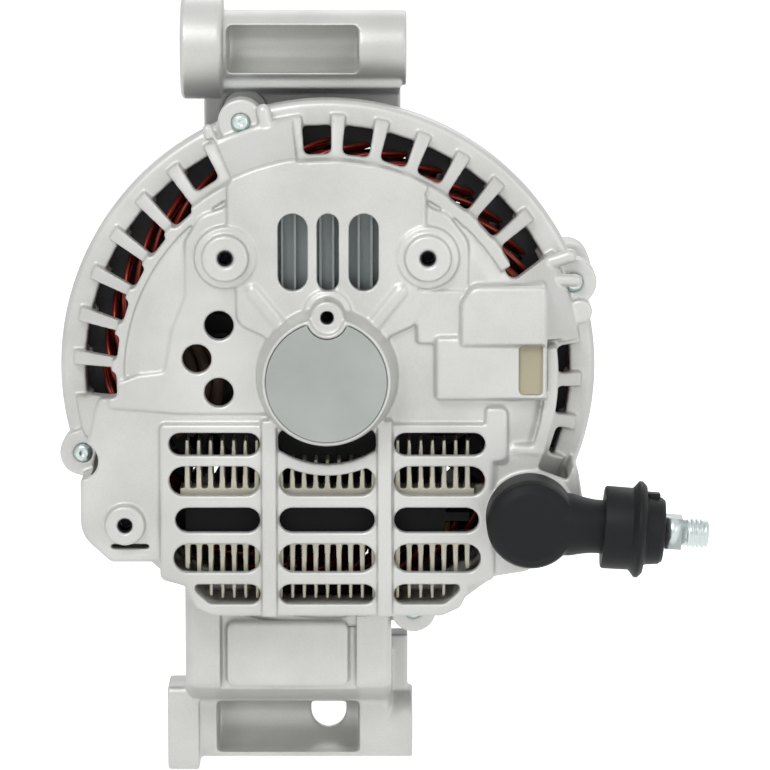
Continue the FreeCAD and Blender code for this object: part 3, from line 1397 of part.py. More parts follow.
def rectifier_upper_heatsink():
    """Heat sink of the positive diodes, fins upwards, with the ear for the output post."""
    bar, fins = finned_sink(UPPER_SINK_BASE, UPPER_SINK_TOP, 1)
    low = rear(SINK_LEVEL + BOARD_EAR_THICK)
    high = rear(SINK_LEVEL)
    arm = block(SINK_HALF - 6.0, POST_X, low, high, UPPER_SINK_BASE - SINK_BASE_THICK,
                UPPER_SINK_BASE)
    pad = disc(POST_PAD_R, low, high, POST_X, POST_Z)
    body = united([bar] + fins + [arm, pad])
    return largest(body.cut(disc(POST_R, rear(30.0), rear(0.0), POST_X, POST_Z)))


def rectifier_lower_heatsink():
    """Heat sink of the negative diodes, fins downwards."""
    bar, fins = finned_sink(LOWER_SINK_BASE, LOWER_SINK_BOTTOM, -1)
    return united([bar] + fins).common(sink_room())


def diode_centres():
    """X of each diode of a row."""
    start = -DIODE_PITCH * (DIODE_COUNT - 1) / 2
    return [start + DIODE_PITCH * index for index in range(DIODE_COUNT)]


def rectifier_diodes():
    """Button diodes on both heat sinks, with leads to the terminal board."""
    y = rear(SINK_LEVEL + (SINK_DEPTH - BOARD_FRONT_THICK) / 2)
    upper = UPPER_SINK_BASE - SINK_BASE_THICK
    lower = LOWER_SINK_BASE + SINK_BASE_THICK
    shelf_top, shelf_bottom = board_shelf()
    diodes = []
    for x in diode_centres():
        for base, way, shelf in ((upper, -1, shelf_top), (lower, 1, shelf_bottom)):
            direction = Vector(0, 0, way)
            body = Part.makeCylinder(DIODE_R, DIODE_LENGTH, Vector(x, y, base), direction)
            lead = Part.makeCylinder(DIODE_LEAD_R, abs(shelf - base), Vector(x, y, base), direction)
            diodes.append(body.fuse(lead))
    return Part.makeCompound(diodes)


def board_shelf():
    """Top and bottom of the terminal board's shelf."""
    middle = (UPPER_SINK_BASE - SINK_BASE_THICK + LOWER_SINK_BASE + SINK_BASE_THICK) / 2
    return middle + BOARD_THICK / 2, middle - BOARD_THICK / 2


def rectifier_terminal_board():
    """Moulded board between the heat sinks, with an ear on the lobe's inner post."""
    top = UPPER_SINK_BASE - SINK_BASE_THICK
    bottom = LOWER_SINK_BASE + SINK_BASE_THICK
    shelf_top, shelf_bottom = board_shelf()
    low = rear(SINK_LEVEL + SINK_DEPTH)
    high = rear(SINK_LEVEL)
    shelf = block(-SINK_HALF + 1.5, SINK_HALF - 1.5, low, high, shelf_bottom, shelf_top)
    wall = block(-SINK_HALF + 1.5, SINK_HALF - 8.0, low, low + BOARD_FRONT_THICK, bottom, top)
    ear_low = rear(SINK_LEVEL + BOARD_EAR_THICK)
    ear = block(LOBE_BOSS_X, -SINK_HALF + 2.0, ear_low, high, LOBE_BOSS_Z - 3.4, LOBE_BOSS_Z + 3.4)
    end = disc(5.0, ear_low, high, LOBE_BOSS_X, LOBE_BOSS_Z)
    board = united([shelf, wall, ear, end])
    return board.cut(disc(RECTIFIER_SCREW_R, rear(30.0), rear(0.0), LOBE_BOSS_X, LOBE_BOSS_Z))


def rectifier_screw():
    """Screw that holds the terminal board on its post."""
    return cheese_head(LOBE_BOSS_X, LOBE_BOSS_Z, rear(SINK_LEVEL), BOARD_EAR_THICK + 4.0)


def cheese_head(x, z, seat, depth):
    """Screw with a low round head, driven towards the rear."""
    radius = RECTIFIER_SCREW_R - SEAT_GAP
    head = disc(RECTIFIER_SCREW_R + 1.8, seat, seat + 1.8, x, z)
    return head.fuse(disc(radius, seat - depth, seat, x, z))


def regulator_case():
    """Black case of the regulator with an ear at each side."""
    low = rear(REGULATOR_LEVEL + REGULATOR_CASE_DEPTH)
    high = rear(REGULATOR_LEVEL)
    corners = (
        (-REGULATOR_HALF, REGULATOR_BOTTOM, 1.5), (REGULATOR_HALF, REGULATOR_BOTTOM, 1.5),
        (REGULATOR_HALF, REGULATOR_TOP, 1.5), (-REGULATOR_HALF, REGULATOR_TOP, 1.5),
    )
    body = plan_face(corners, low).extrude(Vector(0, high - low, 0))
    parts = [body]
    for side in (-1, 1):
        x_low, x_high = sorted((side * (REGULATOR_HALF - 1.0), side * SIDE_BOSS_X))
        parts.append(block(x_low, x_high, low, low + 3.0, SIDE_BOSS_Z - 5.0, SIDE_BOSS_Z + 5.0))
        parts.append(disc(5.0, low, low + 3.0, side * SIDE_BOSS_X, SIDE_BOSS_Z))
    case = united(parts)
    holes = [disc(RECTIFIER_SCREW_R, low - 1.0, high + 1.0, side * SIDE_BOSS_X, SIDE_BOSS_Z)
             for side in (-1, 1)]
    return case.cut(holes)


def regulator_screws():
    """Screws through the regulator's ears into the posts."""
    seat = rear(REGULATOR_LEVEL + REGULATOR_CASE_DEPTH) + 3.0
    return Part.makeCompound([cheese_head(side * SIDE_BOSS_X, SIDE_BOSS_Z, seat, 7.0)
                              for side in (-1, 1)])


def regulator_heatsink():
    """Finned aluminium plate on the regulator, seen through the three upright slots."""
    low = rear(REGULATOR_LEVEL + REGULATOR_CASE_DEPTH)
    tip = low - REGULATOR_FIN_HEIGHT
    z_low = REGULATOR_BOTTOM + 1.0
    z_high = REGULATOR_TOP - 1.0
    half = REGULATOR_HALF - 1.0
    plate = block(-half, half, low - 1.6, low, z_low, z_high)
    pitch = (2 * half - FIN_THICK / 2) / (REGULATOR_FIN_COUNT - 1)
    fins = []
    for index in range(REGULATOR_FIN_COUNT):
        x = -half + index * pitch
        fins.append(block(x, x + FIN_THICK / 2, tip, low, z_low, z_high))
    return united([plate] + fins)


def brush_stations():
    """Y of the middle of each slip ring."""
    return [rear((low + high) / 2) for low, high in ring_heights()]


def brush_holder():
    """Moulded block that guides the two brushes."""
    heights = ring_heights()
    low = rear(heights[1][1] + 0.8)
    high = rear(heights[0][0] - 0.8)
    body = block(-BRUSH_HOLDER_HALF, BRUSH_HOLDER_HALF, low, high, BRUSH_HOLDER_BOTTOM,
                 REGULATOR_BOTTOM)
    return body.cut([brush_channel(y) for y in brush_stations()])


def brush_channel(y):
    """Room of one brush and its spring."""
    half_x = BRUSH_WIDTH / 2 + 2 * SEAT_GAP
    half_y = BRUSH_THICK / 2 + 2 * SEAT_GAP
    top = SLIP_RING_R + BRUSH_LENGTH + BRUSH_TRAVEL + 0.8
    return block(-half_x, half_x, y - half_y, y + half_y, BRUSH_HOLDER_BOTTOM - 1.0, top)


def brush(y):
    """Carbon brush, hollowed to the slip ring."""
    body = block(-BRUSH_WIDTH / 2, BRUSH_WIDTH / 2, y - BRUSH_THICK / 2, y + BRUSH_THICK / 2,
                 SLIP_RING_R - 1.0, SLIP_RING_R + BRUSH_LENGTH)
    return body.cut(disc(SLIP_RING_R + TURN_GAP, y - BRUSH_THICK, y + BRUSH_THICK))


def brush_spring(y):
    """Spring behind a brush, as the tube that its coil fills."""
    low = SLIP_RING_R + BRUSH_LENGTH + SEAT_GAP
    high = SLIP_RING_R + BRUSH_LENGTH + BRUSH_TRAVEL + 0.8
    outer = Part.makeCylinder(BRUSH_SPRING_R, high - low, Vector(0, y, low))
    return outer.cut(Part.makeCylinder(BRUSH_SPRING_R - 0.5, high - low, Vector(0, y, low)))


def connector_socket():
    """Cream socket in the hood, open to the right."""
    low = rear(SOCKET_TOP_HEIGHT)
    high = rear(SOCKET_TOP_HEIGHT - SOCKET_HEIGHT)
    bottom = HOOD_BOTTOM + WALL / 2 + SEAT_GAP
    top = HOOD_MIDDLE - 0.6 - SEAT_GAP
    left = HOOD_RIGHT - SOCKET_LENGTH + SEAT_GAP
    right = HOOD_RIGHT - 0.8
    body = block(left, right, low, high, bottom, top)
    room = block(left + 3.0, right + 1.0, low + SOCKET_WALL, high - SOCKET_WALL,
                 bottom + SOCKET_WALL, top - SOCKET_WALL)
    middle = (bottom + top) / 2
    pins = [pin_blade(middle + (index - (PIN_COUNT - 1) / 2) * PIN_PITCH)
            for index in range(PIN_COUNT)]
    return body.cut([room] + pins)


def pin_blade(z):
    """Blade contact of the connector."""
    left = HOOD_RIGHT - SOCKET_LENGTH + SEAT_GAP
    y = rear(SOCKET_TOP_HEIGHT - SOCKET_HEIGHT / 2)
    return block(left, left + 3.0 + PIN_LENGTH, y - 1.4, y + 1.4, z - 0.4, z + 0.4)


def connector_pins():
    """Row of blade contacts."""
    bottom = HOOD_BOTTOM + WALL / 2 + SEAT_GAP
    top = HOOD_MIDDLE - 0.6 - SEAT_GAP
    middle = (bottom + top) / 2
    return Part.makeCompound([pin_blade(middle + (index - (PIN_COUNT - 1) / 2) * PIN_PITCH)
                              for index in range(PIN_COUNT)])


def b_plus_post():
    """Output post: head behind the heat sink's ear, collar and thread."""
    head = hexagon(10.0, rear(SINK_LEVEL), rear(SINK_LEVEL - 3.0), POST_X, POST_Z)
    shank = disc(POST_R - SEAT_GAP, rear(BOOT_TOP_HEIGHT - BOOT_WALL - 1.0), rear(SINK_LEVEL),
                 POST_X, POST_Z)
    collar_low = BOOT_FOOT_HEIGHT + INSULATOR_FLANGE
    collar_high = ARM_HEIGHT - ARM_THICK / 2
    collar = disc(5.5, rear(collar_high), rear(collar_low), POST_X, POST_Z)
    return united([head, shank, collar])


def b_plus_insulator():
    """Bush that keeps the post clear of the bracket."""
    flange = disc(INSULATOR_R, rear(BOOT_FOOT_HEIGHT + INSULATOR_FLANGE), rear(BOOT_FOOT_HEIGHT),
                  POST_X, POST_Z)
    sleeve = disc(POST_HOLE_R - SEAT_GAP, rear(BOOT_FOOT_HEIGHT),
                  rear(SINK_LEVEL + BOARD_EAR_THICK), POST_X, POST_Z)
    return flange.fuse(sleeve).cut(disc(POST_R, rear(40.0), rear(0.0), POST_X, POST_Z))


def b_plus_nut():
    """Nut that holds the arm on the post."""
    low = ARM_HEIGHT + ARM_THICK / 2
    nut = hexagon(10.0, rear(low + 4.5), rear(low), POST_X, POST_Z)
    return nut.cut(disc(POST_R, rear(low + 6.0), rear(low), POST_X, POST_Z))


def along_arm(shape):
    """Turn a shape drawn along X from the post to the arm's tilt."""
    copy = shape.copy()
    copy.rotate(Vector(POST_X, 0, POST_Z), AXIS, ARM_TILT)
    return copy


def terminal_arm():
    """Zinc-plated arm: eye on the post, flat bar, square base and threaded stud."""
    low = rear(ARM_HEIGHT + ARM_THICK / 2)
    high = rear(ARM_HEIGHT - ARM_THICK / 2)
    y = rear(ARM_HEIGHT)
    eye = disc(ARM_WIDTH * 0.84, low, high, POST_X, POST_Z)
    bar = block(POST_X, POST_X + ARM_BASE_START, low, high, POST_Z - ARM_WIDTH / 2,
                POST_Z + ARM_WIDTH / 2)
    half = ARM_BASE_WIDTH / 2
    base = block(POST_X + ARM_BASE_START, POST_X + ARM_BASE_START + ARM_BASE_LENGTH,
                 y - half, y + half, POST_Z - half, POST_Z + half)
    stud = bar_along_x(ARM_STUD_R, POST_X + ARM_BASE_START, POST_X + ARM_STUD_END, y, POST_Z)
    tip = [edge for edge in stud.Edges
           if edge.BoundBox.XMin > POST_X + ARM_STUD_END - 0.001]
    stud = stud.makeChamfer(0.7, tip)
    body = united([eye, bar, base, stud])
    return along_arm(body).cut(disc(POST_R, rear(60.0), rear(0.0), POST_X, POST_Z))


def terminal_boot():
    """Rubber boot: a domed cup over the post and a neck along the arm."""
    y = rear(ARM_HEIGHT)
    foot = rear(BOOT_FOOT_HEIGHT)
    cup = disc(BOOT_R, rear(BOOT_TOP_HEIGHT), foot, POST_X, POST_Z)
    top = [edge for edge in cup.Edges if abs(edge.BoundBox.YMax - rear(BOOT_TOP_HEIGHT)) < 1e-6]
    cup = cup.makeFillet(4.0, top)
    neck = bar_along_x(NECK_R, POST_X, POST_X + NECK_END, y, POST_Z)
    body = united([cup, neck])
    room = disc(BOOT_R - BOOT_WALL, rear(BOOT_TOP_HEIGHT - BOOT_WALL), foot + 1.0, POST_X, POST_Z)
    lumen = bar_along_x(NECK_R - BOOT_WALL, POST_X, POST_X + NECK_END + 1.0, y, POST_Z)
    return along_arm(body.cut([room, lumen]))


def terminal_shroud():
    """Rubber shroud round the arm's end: collar, flange and end cap with a small tab."""
    y = rear(ARM_HEIGHT)
    steps = (
        (SHROUD_START, SHROUD_FLANGE_START, SHROUD_COLLAR_R),
        (SHROUD_FLANGE_START, SHROUD_FLANGE_END, SHROUD_FLANGE_R),
        (SHROUD_FLANGE_END, SHROUD_END, SHROUD_END_R),
    )
    parts = []
    for start, end, radius in steps:
        bar = bar_along_x(radius, POST_X + start, POST_X + end, y, POST_Z)
        rims = [edge for edge in bar.Edges if edge.BoundBox.XLength < 1e-6]
        parts.append(bar.makeFillet(0.8, rims))
    tab_x = POST_X + SHROUD_FLANGE_END
    parts.append(block(tab_x - 1.0, tab_x + 3.6, y - 2.0, y + 2.0,
                       POST_Z + SHROUD_END_R - 1.0, POST_Z + SHROUD_END_R + 1.4))
    body = united(parts)
    socket = bar_along_x(NECK_R + SEAT_GAP, POST_X + SHROUD_START - 1.0, POST_X + NECK_END, y,
                         POST_Z)
    lumen = bar_along_x(NECK_R - BOOT_WALL, POST_X + SHROUD_START, POST_X + SHROUD_END + 1.0, y,
                        POST_Z)
    return along_arm(body.cut([socket, lumen]))


def build_nodes():
    """Every piece of the alternator by name."""
    front = bearing(FRONT_BEARING_FRONT, FRONT_BEARING_WIDTH, FRONT_BEARING_BORE_R,
                    FRONT_BEARING_R, FRONT_BALL_R, FRONT_BALL_COUNT)
    back = bearing(REAR_BEARING_FRONT, REAR_BEARING_WIDTH, REAR_BEARING_BORE_R,
                   REAR_BEARING_R, REAR_BALL_R, REAR_BALL_COUNT)
    nodes = {
        "rear_bracket": rear_bracket(),
        "front_bracket": front_bracket(),
        "upper_mount_lug": upper_mount_lug(),
        "lower_mount_lug": lower_mount_lug(),
        "through_bolts": through_bolts(),
        "rear_cap": rear_cap(),
        "front_bearing_retainer": bearing_retainer(),
        "retainer_screws": retainer_screws(),
        "stator_core": stator_core(),
        "stator_winding": stator_winding(),
        "rotor_shaft": rotor_shaft(),
        "claw_pole_front": claw_pole(CLAW_FRONT, -1, 0.0),
        "claw_pole_rear": claw_pole(CLAW_BACK, 1, 180.0 / CLAW_FINGERS),
        "field_bobbin": field_bobbin(),
        "field_winding": field_winding(),
        "front_fan": fan(CLAW_FRONT, 1),
        "rear_fan": fan(CLAW_BACK, -1),
        "slip_rings": slip_rings(),
        "slip_ring_insulator": slip_ring_insulator(),
        "pulley": pulley(),
        "pulley_spacer": pulley_spacer(),
        "pulley_washer": pulley_washer(),
        "pulley_nut": pulley_nut(),
        "rectifier_upper_heatsink": rectifier_upper_heatsink(),
        "rectifier_lower_heatsink": rectifier_lower_heatsink(),
        "rectifier_diodes": rectifier_diodes(),
        "rectifier_terminal_board": rectifier_terminal_board(),
        "rectifier_screw": rectifier_screw(),
        "regulator_case": regulator_case(),
        "regulator_screws": regulator_screws(),
        "regulator_heatsink": regulator_heatsink(),
        "brush_holder": brush_holder(),
        "connector_socket": connector_socket(),
        "connector_pins": connector_pins(),
        "b_plus_post": b_plus_post(),
        "b_plus_insulator": b_plus_insulator(),
        "b_plus_nut": b_plus_nut(),
        "terminal_arm": terminal_arm(),
        "terminal_boot": terminal_boot(),
        "terminal_shroud": terminal_shroud(),
    }
    for index, y in enumerate(brush_stations()):
        nodes["brush_%d" % (index + 1)] = brush(y)
        nodes["brush_spring_%d" % (index + 1)] = brush_spring(y)
    for prefix, pieces in (("front_bearing", front), ("rear_bearing", back)):
        for name, shape in zip(("outer_race", "inner_race", "balls", "cage", "seals"), pieces):
            nodes["%s_%s" % (prefix, name)] = shape
    return nodes


def main():
    """Write one STEP file per piece."""
    os.makedirs("parts", exist_ok=True)
    for name, shape in build_nodes().items():
        shape.exportStep("parts/%s.step" % name)
        print(name, len(shape.Solids), round(shape.Volume / 1000, 2), shape.isValid())


main()
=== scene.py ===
"""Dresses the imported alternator: castings, windings, rubber boot, plated steel and studio."""

import json
import logging
import math
from dataclasses import dataclass
from enum import Enum
from typing import Sequence

import bmesh
import bpy
from mathutils import Matrix, Vector, noise


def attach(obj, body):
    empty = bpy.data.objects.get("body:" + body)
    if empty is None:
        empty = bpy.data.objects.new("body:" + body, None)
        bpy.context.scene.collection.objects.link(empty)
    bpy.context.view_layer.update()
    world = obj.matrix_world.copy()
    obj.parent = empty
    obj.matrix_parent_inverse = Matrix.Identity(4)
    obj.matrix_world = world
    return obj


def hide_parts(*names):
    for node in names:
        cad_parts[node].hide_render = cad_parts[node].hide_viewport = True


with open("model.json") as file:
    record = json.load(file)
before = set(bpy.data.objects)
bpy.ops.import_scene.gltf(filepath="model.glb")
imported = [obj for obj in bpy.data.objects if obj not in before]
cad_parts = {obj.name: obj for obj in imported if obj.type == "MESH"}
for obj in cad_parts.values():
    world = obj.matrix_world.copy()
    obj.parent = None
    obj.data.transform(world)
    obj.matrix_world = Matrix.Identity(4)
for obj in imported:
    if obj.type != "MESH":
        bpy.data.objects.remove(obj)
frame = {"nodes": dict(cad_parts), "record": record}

LOG = logging.getLogger("alternator")
MM = 0.001
RIM = -0.096
TO_REAR = Matrix.Rotation(math.radians(90.0), 4, "Z")


class Side(Enum):
    """End of the machine."""

    REAR = -1
    FRONT = 1


# Materials


class Nodes:
    """Short way to write a shader tree."""

    def __init__(self, name: str) -> None:
        """Start a material with a principled shader.

        Args:
            name: Name of the material.
        """
        self.material = bpy.data.materials.new(name)
        self.material.use_nodes = True
        self.tree = self.material.node_tree
        self.shader = self.tree.nodes["Principled BSDF"]
        self.coords = self.tree.nodes.new("ShaderNodeTexCoord").outputs["Object"]

    def add(self, kind: str, **values: object) -> bpy.types.Node:
        """Add a node and set its properties and inputs.

        Args:
            kind: Blender's type name of the node.
            **values: Properties by name, or inputs by name with underscores for spaces.

        Returns:
            The node.
        """
        node = self.tree.nodes.new(kind)
        for key, value in values.items():
            if key in node.bl_rna.properties:
                setattr(node, key, value)
            else:
                self.feed(node.inputs[key.replace("_", " ")], value)
        return node

    def feed(self, socket: bpy.types.NodeSocket, value: object) -> None:
        """Link a socket, or set its value.

        Args:
            socket: Input to fill.
            value: Output socket to link, or a number, colour or vector.
        """
        if isinstance(value, bpy.types.NodeSocket):
            self.tree.links.new(value, socket)
        else:
            socket.default_value = value

    def noise(self, scale: float, detail: float) -> bpy.types.NodeSocket:
        """Noise on object coordinates.

        Args:
            scale: Cells per metre.
            detail: Octaves.

        Returns:
            The noise's value.
        """
        return self.add("ShaderNodeTexNoise", Vector=self.coords, Scale=scale,
                        Detail=detail).outputs[0]

    def ramp(self, value: bpy.types.NodeSocket, stops: Sequence[tuple]) -> bpy.types.NodeSocket:
        """Colour ramp.

        Args:
            value: Factor.
            stops: (position, colour) pairs, colour a grey level or red, green and blue.

        Returns:
            The colour.
        """
        node = self.add("ShaderNodeValToRGB", Fac=value)
        elements = node.color_ramp.elements
        while len(elements) < len(stops):
            elements.new(0.5)
        for element, (position, colour) in zip(elements, stops):
            element.position = position
            shade = colour if isinstance(colour, tuple) else (colour,) * 3
            element.color = (*shade, 1.0)
        return node.outputs["Color"]

    def mix(self, factor: object, first: object, second: object,
            blend: str = "MIX") -> bpy.types.NodeSocket:
        """Mix two colours.

        Args:
            factor: Share of the second colour.
            first: Colour or socket.
            second: Colour or socket.
            blend: Blender's name of the blending mode.

        Returns:
            The mixed colour.
        """
        node = self.add("ShaderNodeMix", data_type="RGBA", blend_type=blend)
        self.feed(node.inputs[0], factor)
        self.feed(node.inputs[6], full(first))
        self.feed(node.inputs[7], full(second))
        return node.outputs[2]

    def maths(self, operation: str, *values: object) -> bpy.types.NodeSocket:
        """Arithmetic on two or three values.

        Args:
            operation: Blender's name of the operation.
            *values: Numbers or sockets.

        Returns:
            The result.
        """
        node = self.add("ShaderNodeMath", operation=operation)
        for socket, value in zip(node.inputs, values):
            self.feed(socket, value)
        return node.outputs[0]

    def bump(self, height: bpy.types.NodeSocket, distance: float,
             strength: float) -> bpy.types.NodeSocket:
        """Bump from a height.

        Args:
            height: Height from 0 to 1.
            distance: Depth in metres.
            strength: Share of the effect.

        Returns:
            The normal.
        """
        return self.add("ShaderNodeBump", Height=height, Distance=distance,
                        Strength=strength).outputs[0]

    def shade(self, **values: object) -> bpy.types.Material:
        """Fill the shader's inputs.

        Args:
            **values: Inputs by name with underscores for spaces.

        Returns:
            The material.
        """
        for key, value in values.items():
            self.feed(self.shader.inputs[key.replace("_", " ")], full(value))
        return self.material


def full(value: object) -> object:
    """Give a colour of three numbers its alpha.

    Args:
        value: Any value for a socket.

    Returns:
        The value, as four numbers where it was a colour of three.
    """
    if isinstance(value, tuple) and len(value) == 3:
        return (*value, 1.0)
    return value


@dataclass(frozen=True)
class CastFinish:
    """Die-cast aluminium with a fine blasted grain and faint stains."""

    name: str = "cast_aluminium"
    colour: tuple = (0.72, 0.725, 0.70)
    stain: tuple = (0.60, 0.60, 0.575)
    grain: float = 0.00005
    roughness: float = 0.42
    roughness_spread: float = 0.12
    metallic: float = 0.35
    stain_scale: float = 38.0
    stain_edges: tuple = ((0.38, 0.0), (0.72, 1.0))
    speck_scale: float = 2600.0
    speck_shades: tuple = ((0.3, 0.45), (0.7, 0.95))
    speck_share: float = 0.12
    grain_scale: float = 1500.0

    def material(self) -> bpy.types.Material:
        """Build the material.

        Returns:
            The material.
        """
        nodes = Nodes(self.name)
        cloud = nodes.noise(self.stain_scale, 4.0)
        specks = nodes.ramp(nodes.noise(self.speck_scale, 2.0), self.speck_shades)
        colour = nodes.mix(nodes.ramp(cloud, self.stain_edges), self.colour, self.stain)
        colour = nodes.mix(self.speck_share, colour, specks, "MULTIPLY")
        rough = nodes.maths("MULTIPLY_ADD", cloud, self.roughness_spread,
                            self.roughness - self.roughness_spread / 2)
        normal = nodes.bump(nodes.noise(self.grain_scale, 3.0), self.grain, 0.8)
        return nodes.shade(Base_Color=colour, Metallic=self.metallic, Roughness=rough,
                           Normal=normal)


@dataclass(frozen=True)
class PlainFinish:
    """Metal, plastic or rubber with a soft mottle and a fine grain."""

    name: str
    colour: tuple
    roughness: float = 0.5
    metallic: float = 0.0
    mottle: float = 0.15
    mottle_scale: float = 60.0
    grain: float = 0.00002
    grain_scale: float = 1800.0
    specular: float = 0.5

    def material(self) -> bpy.types.Material:
        """Build the material.

        Returns:
            The material.
        """
        nodes = Nodes(self.name)
        cloud = nodes.ramp(nodes.noise(self.mottle_scale, 4.0),
                           ((0.3, 1.0 - self.mottle), (0.7, 1.0)))
        colour = nodes.mix(1.0, self.colour, cloud, "MULTIPLY")
        normal = nodes.bump(nodes.noise(self.grain_scale, 3.0), self.grain, 0.7)
        return nodes.shade(Base_Color=colour, Metallic=self.metallic, Roughness=self.roughness,
                           Normal=normal, Specular_IOR_Level=self.specular)


FINISHES: dict = {
    "sink_aluminium": PlainFinish("sink_aluminium", (0.62, 0.59, 0.50), 0.4, 0.5),
    "regulator_aluminium": PlainFinish("regulator_aluminium", (0.26, 0.29, 0.29), 0.42, 0.5),
    "zinc_steel": PlainFinish("zinc_steel", (0.62, 0.70, 0.69), 0.28, 0.8),
    "bearing_steel": PlainFinish("bearing_steel", (0.45, 0.46, 0.47), 0.2, 1.0),
    # core_steel is near black partly for the steel's own dark tone and partly as painted shade:
    # the stator face deep behind the slots, the fans and the hole liners take it for the shade
    # there
    "core_steel": PlainFinish("core_steel", (0.03, 0.03, 0.033), 0.55, 0.4),
    "pulley_steel": PlainFinish("pulley_steel", (0.045, 0.045, 0.05), 0.35, 0.5),
    "cap_steel": PlainFinish("cap_steel", (0.40, 0.42, 0.40), 0.36, 0.6),
    "enamelled_copper": PlainFinish("enamelled_copper", (0.30, 0.035, 0.022), 0.3, 0.45),
    "bare_copper": PlainFinish("bare_copper", (0.5, 0.22, 0.1), 0.3, 0.9),
    "black_plastic": PlainFinish("black_plastic", (0.006, 0.006, 0.006), 0.6, specular=0.15),
    "cream_plastic": PlainFinish("cream_plastic", (0.55, 0.50, 0.36), 0.5),
    "black_rubber": PlainFinish("black_rubber", (0.010, 0.011, 0.012), 0.5, specular=0.2),
    "lead_sleeve": PlainFinish("lead_sleeve", (0.085, 0.055, 0.035), 0.6, specular=0.2),
    "carbon": PlainFinish("carbon", (0.03, 0.03, 0.03), 0.6),
}


NODE_FINISHES: dict = {
    # The fans take the near-black core_steel as painted shade, for the shade that they sit in
    # behind the slots.
    "rear_fan": "core_steel",
    "front_fan": "core_steel",
    "regulator_heatsink": "regulator_aluminium",
}


class Paintbox:
    """Materials by slot, each built once."""

    def __init__(self) -> None:
        """Build every finish."""
        self.materials = {name: finish.material() for name, finish in FINISHES.items()}
        self.materials["cast_aluminium"] = CastFinish().material()

    def dress(self, piece: bpy.types.Object, slot: str) -> None:
        """Give a piece one material.

        Args:
            piece: Object to dress.
            slot: Name of the finish.
        """
        piece.data.materials.clear()
        piece.data.materials.append(self.materials[slot])

    def dress_nodes(self) -> None:
        """Give every CAD node the finish of its slot."""
        for entry in frame["record"]["subparts"]:
            finish = NODE_FINISHES.get(entry["node"], entry["material_slot"])
            self.dress(frame["nodes"][entry["node"]], finish)


# Shapes


def cross_section(mesh: bmesh.types.BMesh, points: Sequence[tuple]) -> list:
    """Draw an open line of points to spin.

    Args:
        mesh: Mesh to draw in.
        points: (along, radius) pairs, in metres; along runs on the X axis.

    Returns:
        The line's vertices and edges.
    """
    verts = [mesh.verts.new((along, 0.0, radius)) for along, radius in points]
    edges = [mesh.edges.new(pair) for pair in zip(verts, verts[1:])]
    return verts + edges


def lathe(points: Sequence[tuple], steps: int = 96, round_by: float = 0.0) -> bmesh.types.BMesh:
    """Turn a closed body about the X axis.

    Args:
        points: (along, radius) pairs in metres; the first and last lie on the axis.
        steps: Facets round the axis.
        round_by: Width of the bevel on its rims, in metres.

    Returns:
        The body.
    """
    mesh = bmesh.new()
    line = cross_section(mesh, points)
    bmesh.ops.spin(mesh, geom=line, cent=(0, 0, 0), axis=(1, 0, 0), angle=2 * math.pi,
                   steps=steps, use_merge=True)
    bmesh.ops.remove_doubles(mesh, verts=mesh.verts, dist=1e-7)
    bmesh.ops.recalc_face_normals(mesh, faces=mesh.faces)
    if round_by:
        sharp = [edge for edge in mesh.edges
                 if edge.is_manifold and edge.calc_face_angle() > math.radians(30.0)]
        bmesh.ops.bevel(mesh, geom=sharp, offset=round_by, segments=3, profile=0.5,
                        affect="EDGES", clamp_overlap=True, material=-1)
    return mesh


def rounded_box(low: Sequence[float], high: Sequence[float], round_by: float) -> bmesh.types.BMesh:
    """Box with rounded edges.

    Args:
        low: Lowest corner in metres.
        high: Highest corner in metres.
        round_by: Radius of the edges in metres.

    Returns:
        The box.
    """
    mesh = bmesh.new()
    bmesh.ops.create_cube(mesh, size=1.0)
    size = Vector(high) - Vector(low)
    middle = (Vector(high) + Vector(low)) / 2
    bmesh.ops.scale(mesh, vec=size, verts=mesh.verts)
    bmesh.ops.translate(mesh, vec=middle, verts=mesh.verts)
    if round_by:
        bmesh.ops.bevel(mesh, geom=mesh.edges[:], offset=round_by, segments=3, profile=0.5,
                        affect="EDGES", clamp_overlap=True, material=-1)
    return mesh


def ring_sector(points: Sequence[tuple], first: float, last: float) -> bmesh.types.BMesh:
    """Part of a ring about the rotor's axis, closed at both ends.

    Args:
        points: (height above the rim, radius) pairs in millimetres, round the section.
        first: Angle that it starts at, in degrees from +X towards +Z.
        last: Angle that it ends at.

    Returns:
        The solid.
    """
    mesh = bmesh.new()
    start = math.radians(first)
    verts = [mesh.verts.new((radius * MM * math.cos(start), RIM - height * MM,
                             radius * MM * math.sin(start))) for height, radius in points]
    edges = [mesh.edges.new(pair) for pair in zip(verts, verts[1:] + verts[:1])]
    bmesh.ops.spin(mesh, geom=verts + edges, cent=(0, 0, 0), axis=(0, -1, 0),
                   angle=math.radians(last - first), steps=int((last - first) * 1.5),
                   use_merge=False)
    rim = [edge for edge in mesh.edges if edge.is_boundary]
    bmesh.ops.holes_fill(mesh, edges=rim, sides=0)
    bmesh.ops.recalc_face_normals(mesh, faces=mesh.faces)
    return mesh


def placed(mesh: bmesh.types.BMesh, place: Matrix) -> bmesh.types.BMesh:
    """Move a mesh by a matrix and give it back."""
    bmesh.ops.transform(mesh, matrix=place, verts=mesh.verts)
    return mesh


def joined(meshes: Sequence[bmesh.types.BMesh]) -> bmesh.types.BMesh:
    """Put several meshes into the first.

    Args:
        meshes: Meshes to join; all but the first are freed.

    Returns:
        The first mesh.
    """
    for other in meshes[1:]:
        data = bpy.data.meshes.new("joining")
        other.to_mesh(data)
        other.free()
        meshes[0].from_mesh(data)
        bpy.data.meshes.remove(data)
    return meshes[0]


def node_copy(node: str) -> bmesh.types.BMesh:
    """Copy a CAD node's mesh with its doubled points merged.

    Args:
        node: Name of the node.

    Returns:
        The copy.
    """
    mesh = bmesh.new()
    mesh.from_mesh(frame["nodes"][node].data)
    bmesh.ops.remove_doubles(mesh, verts=mesh.verts, dist=1e-6)
    bmesh.ops.recalc_face_normals(mesh, faces=mesh.faces)
    return mesh


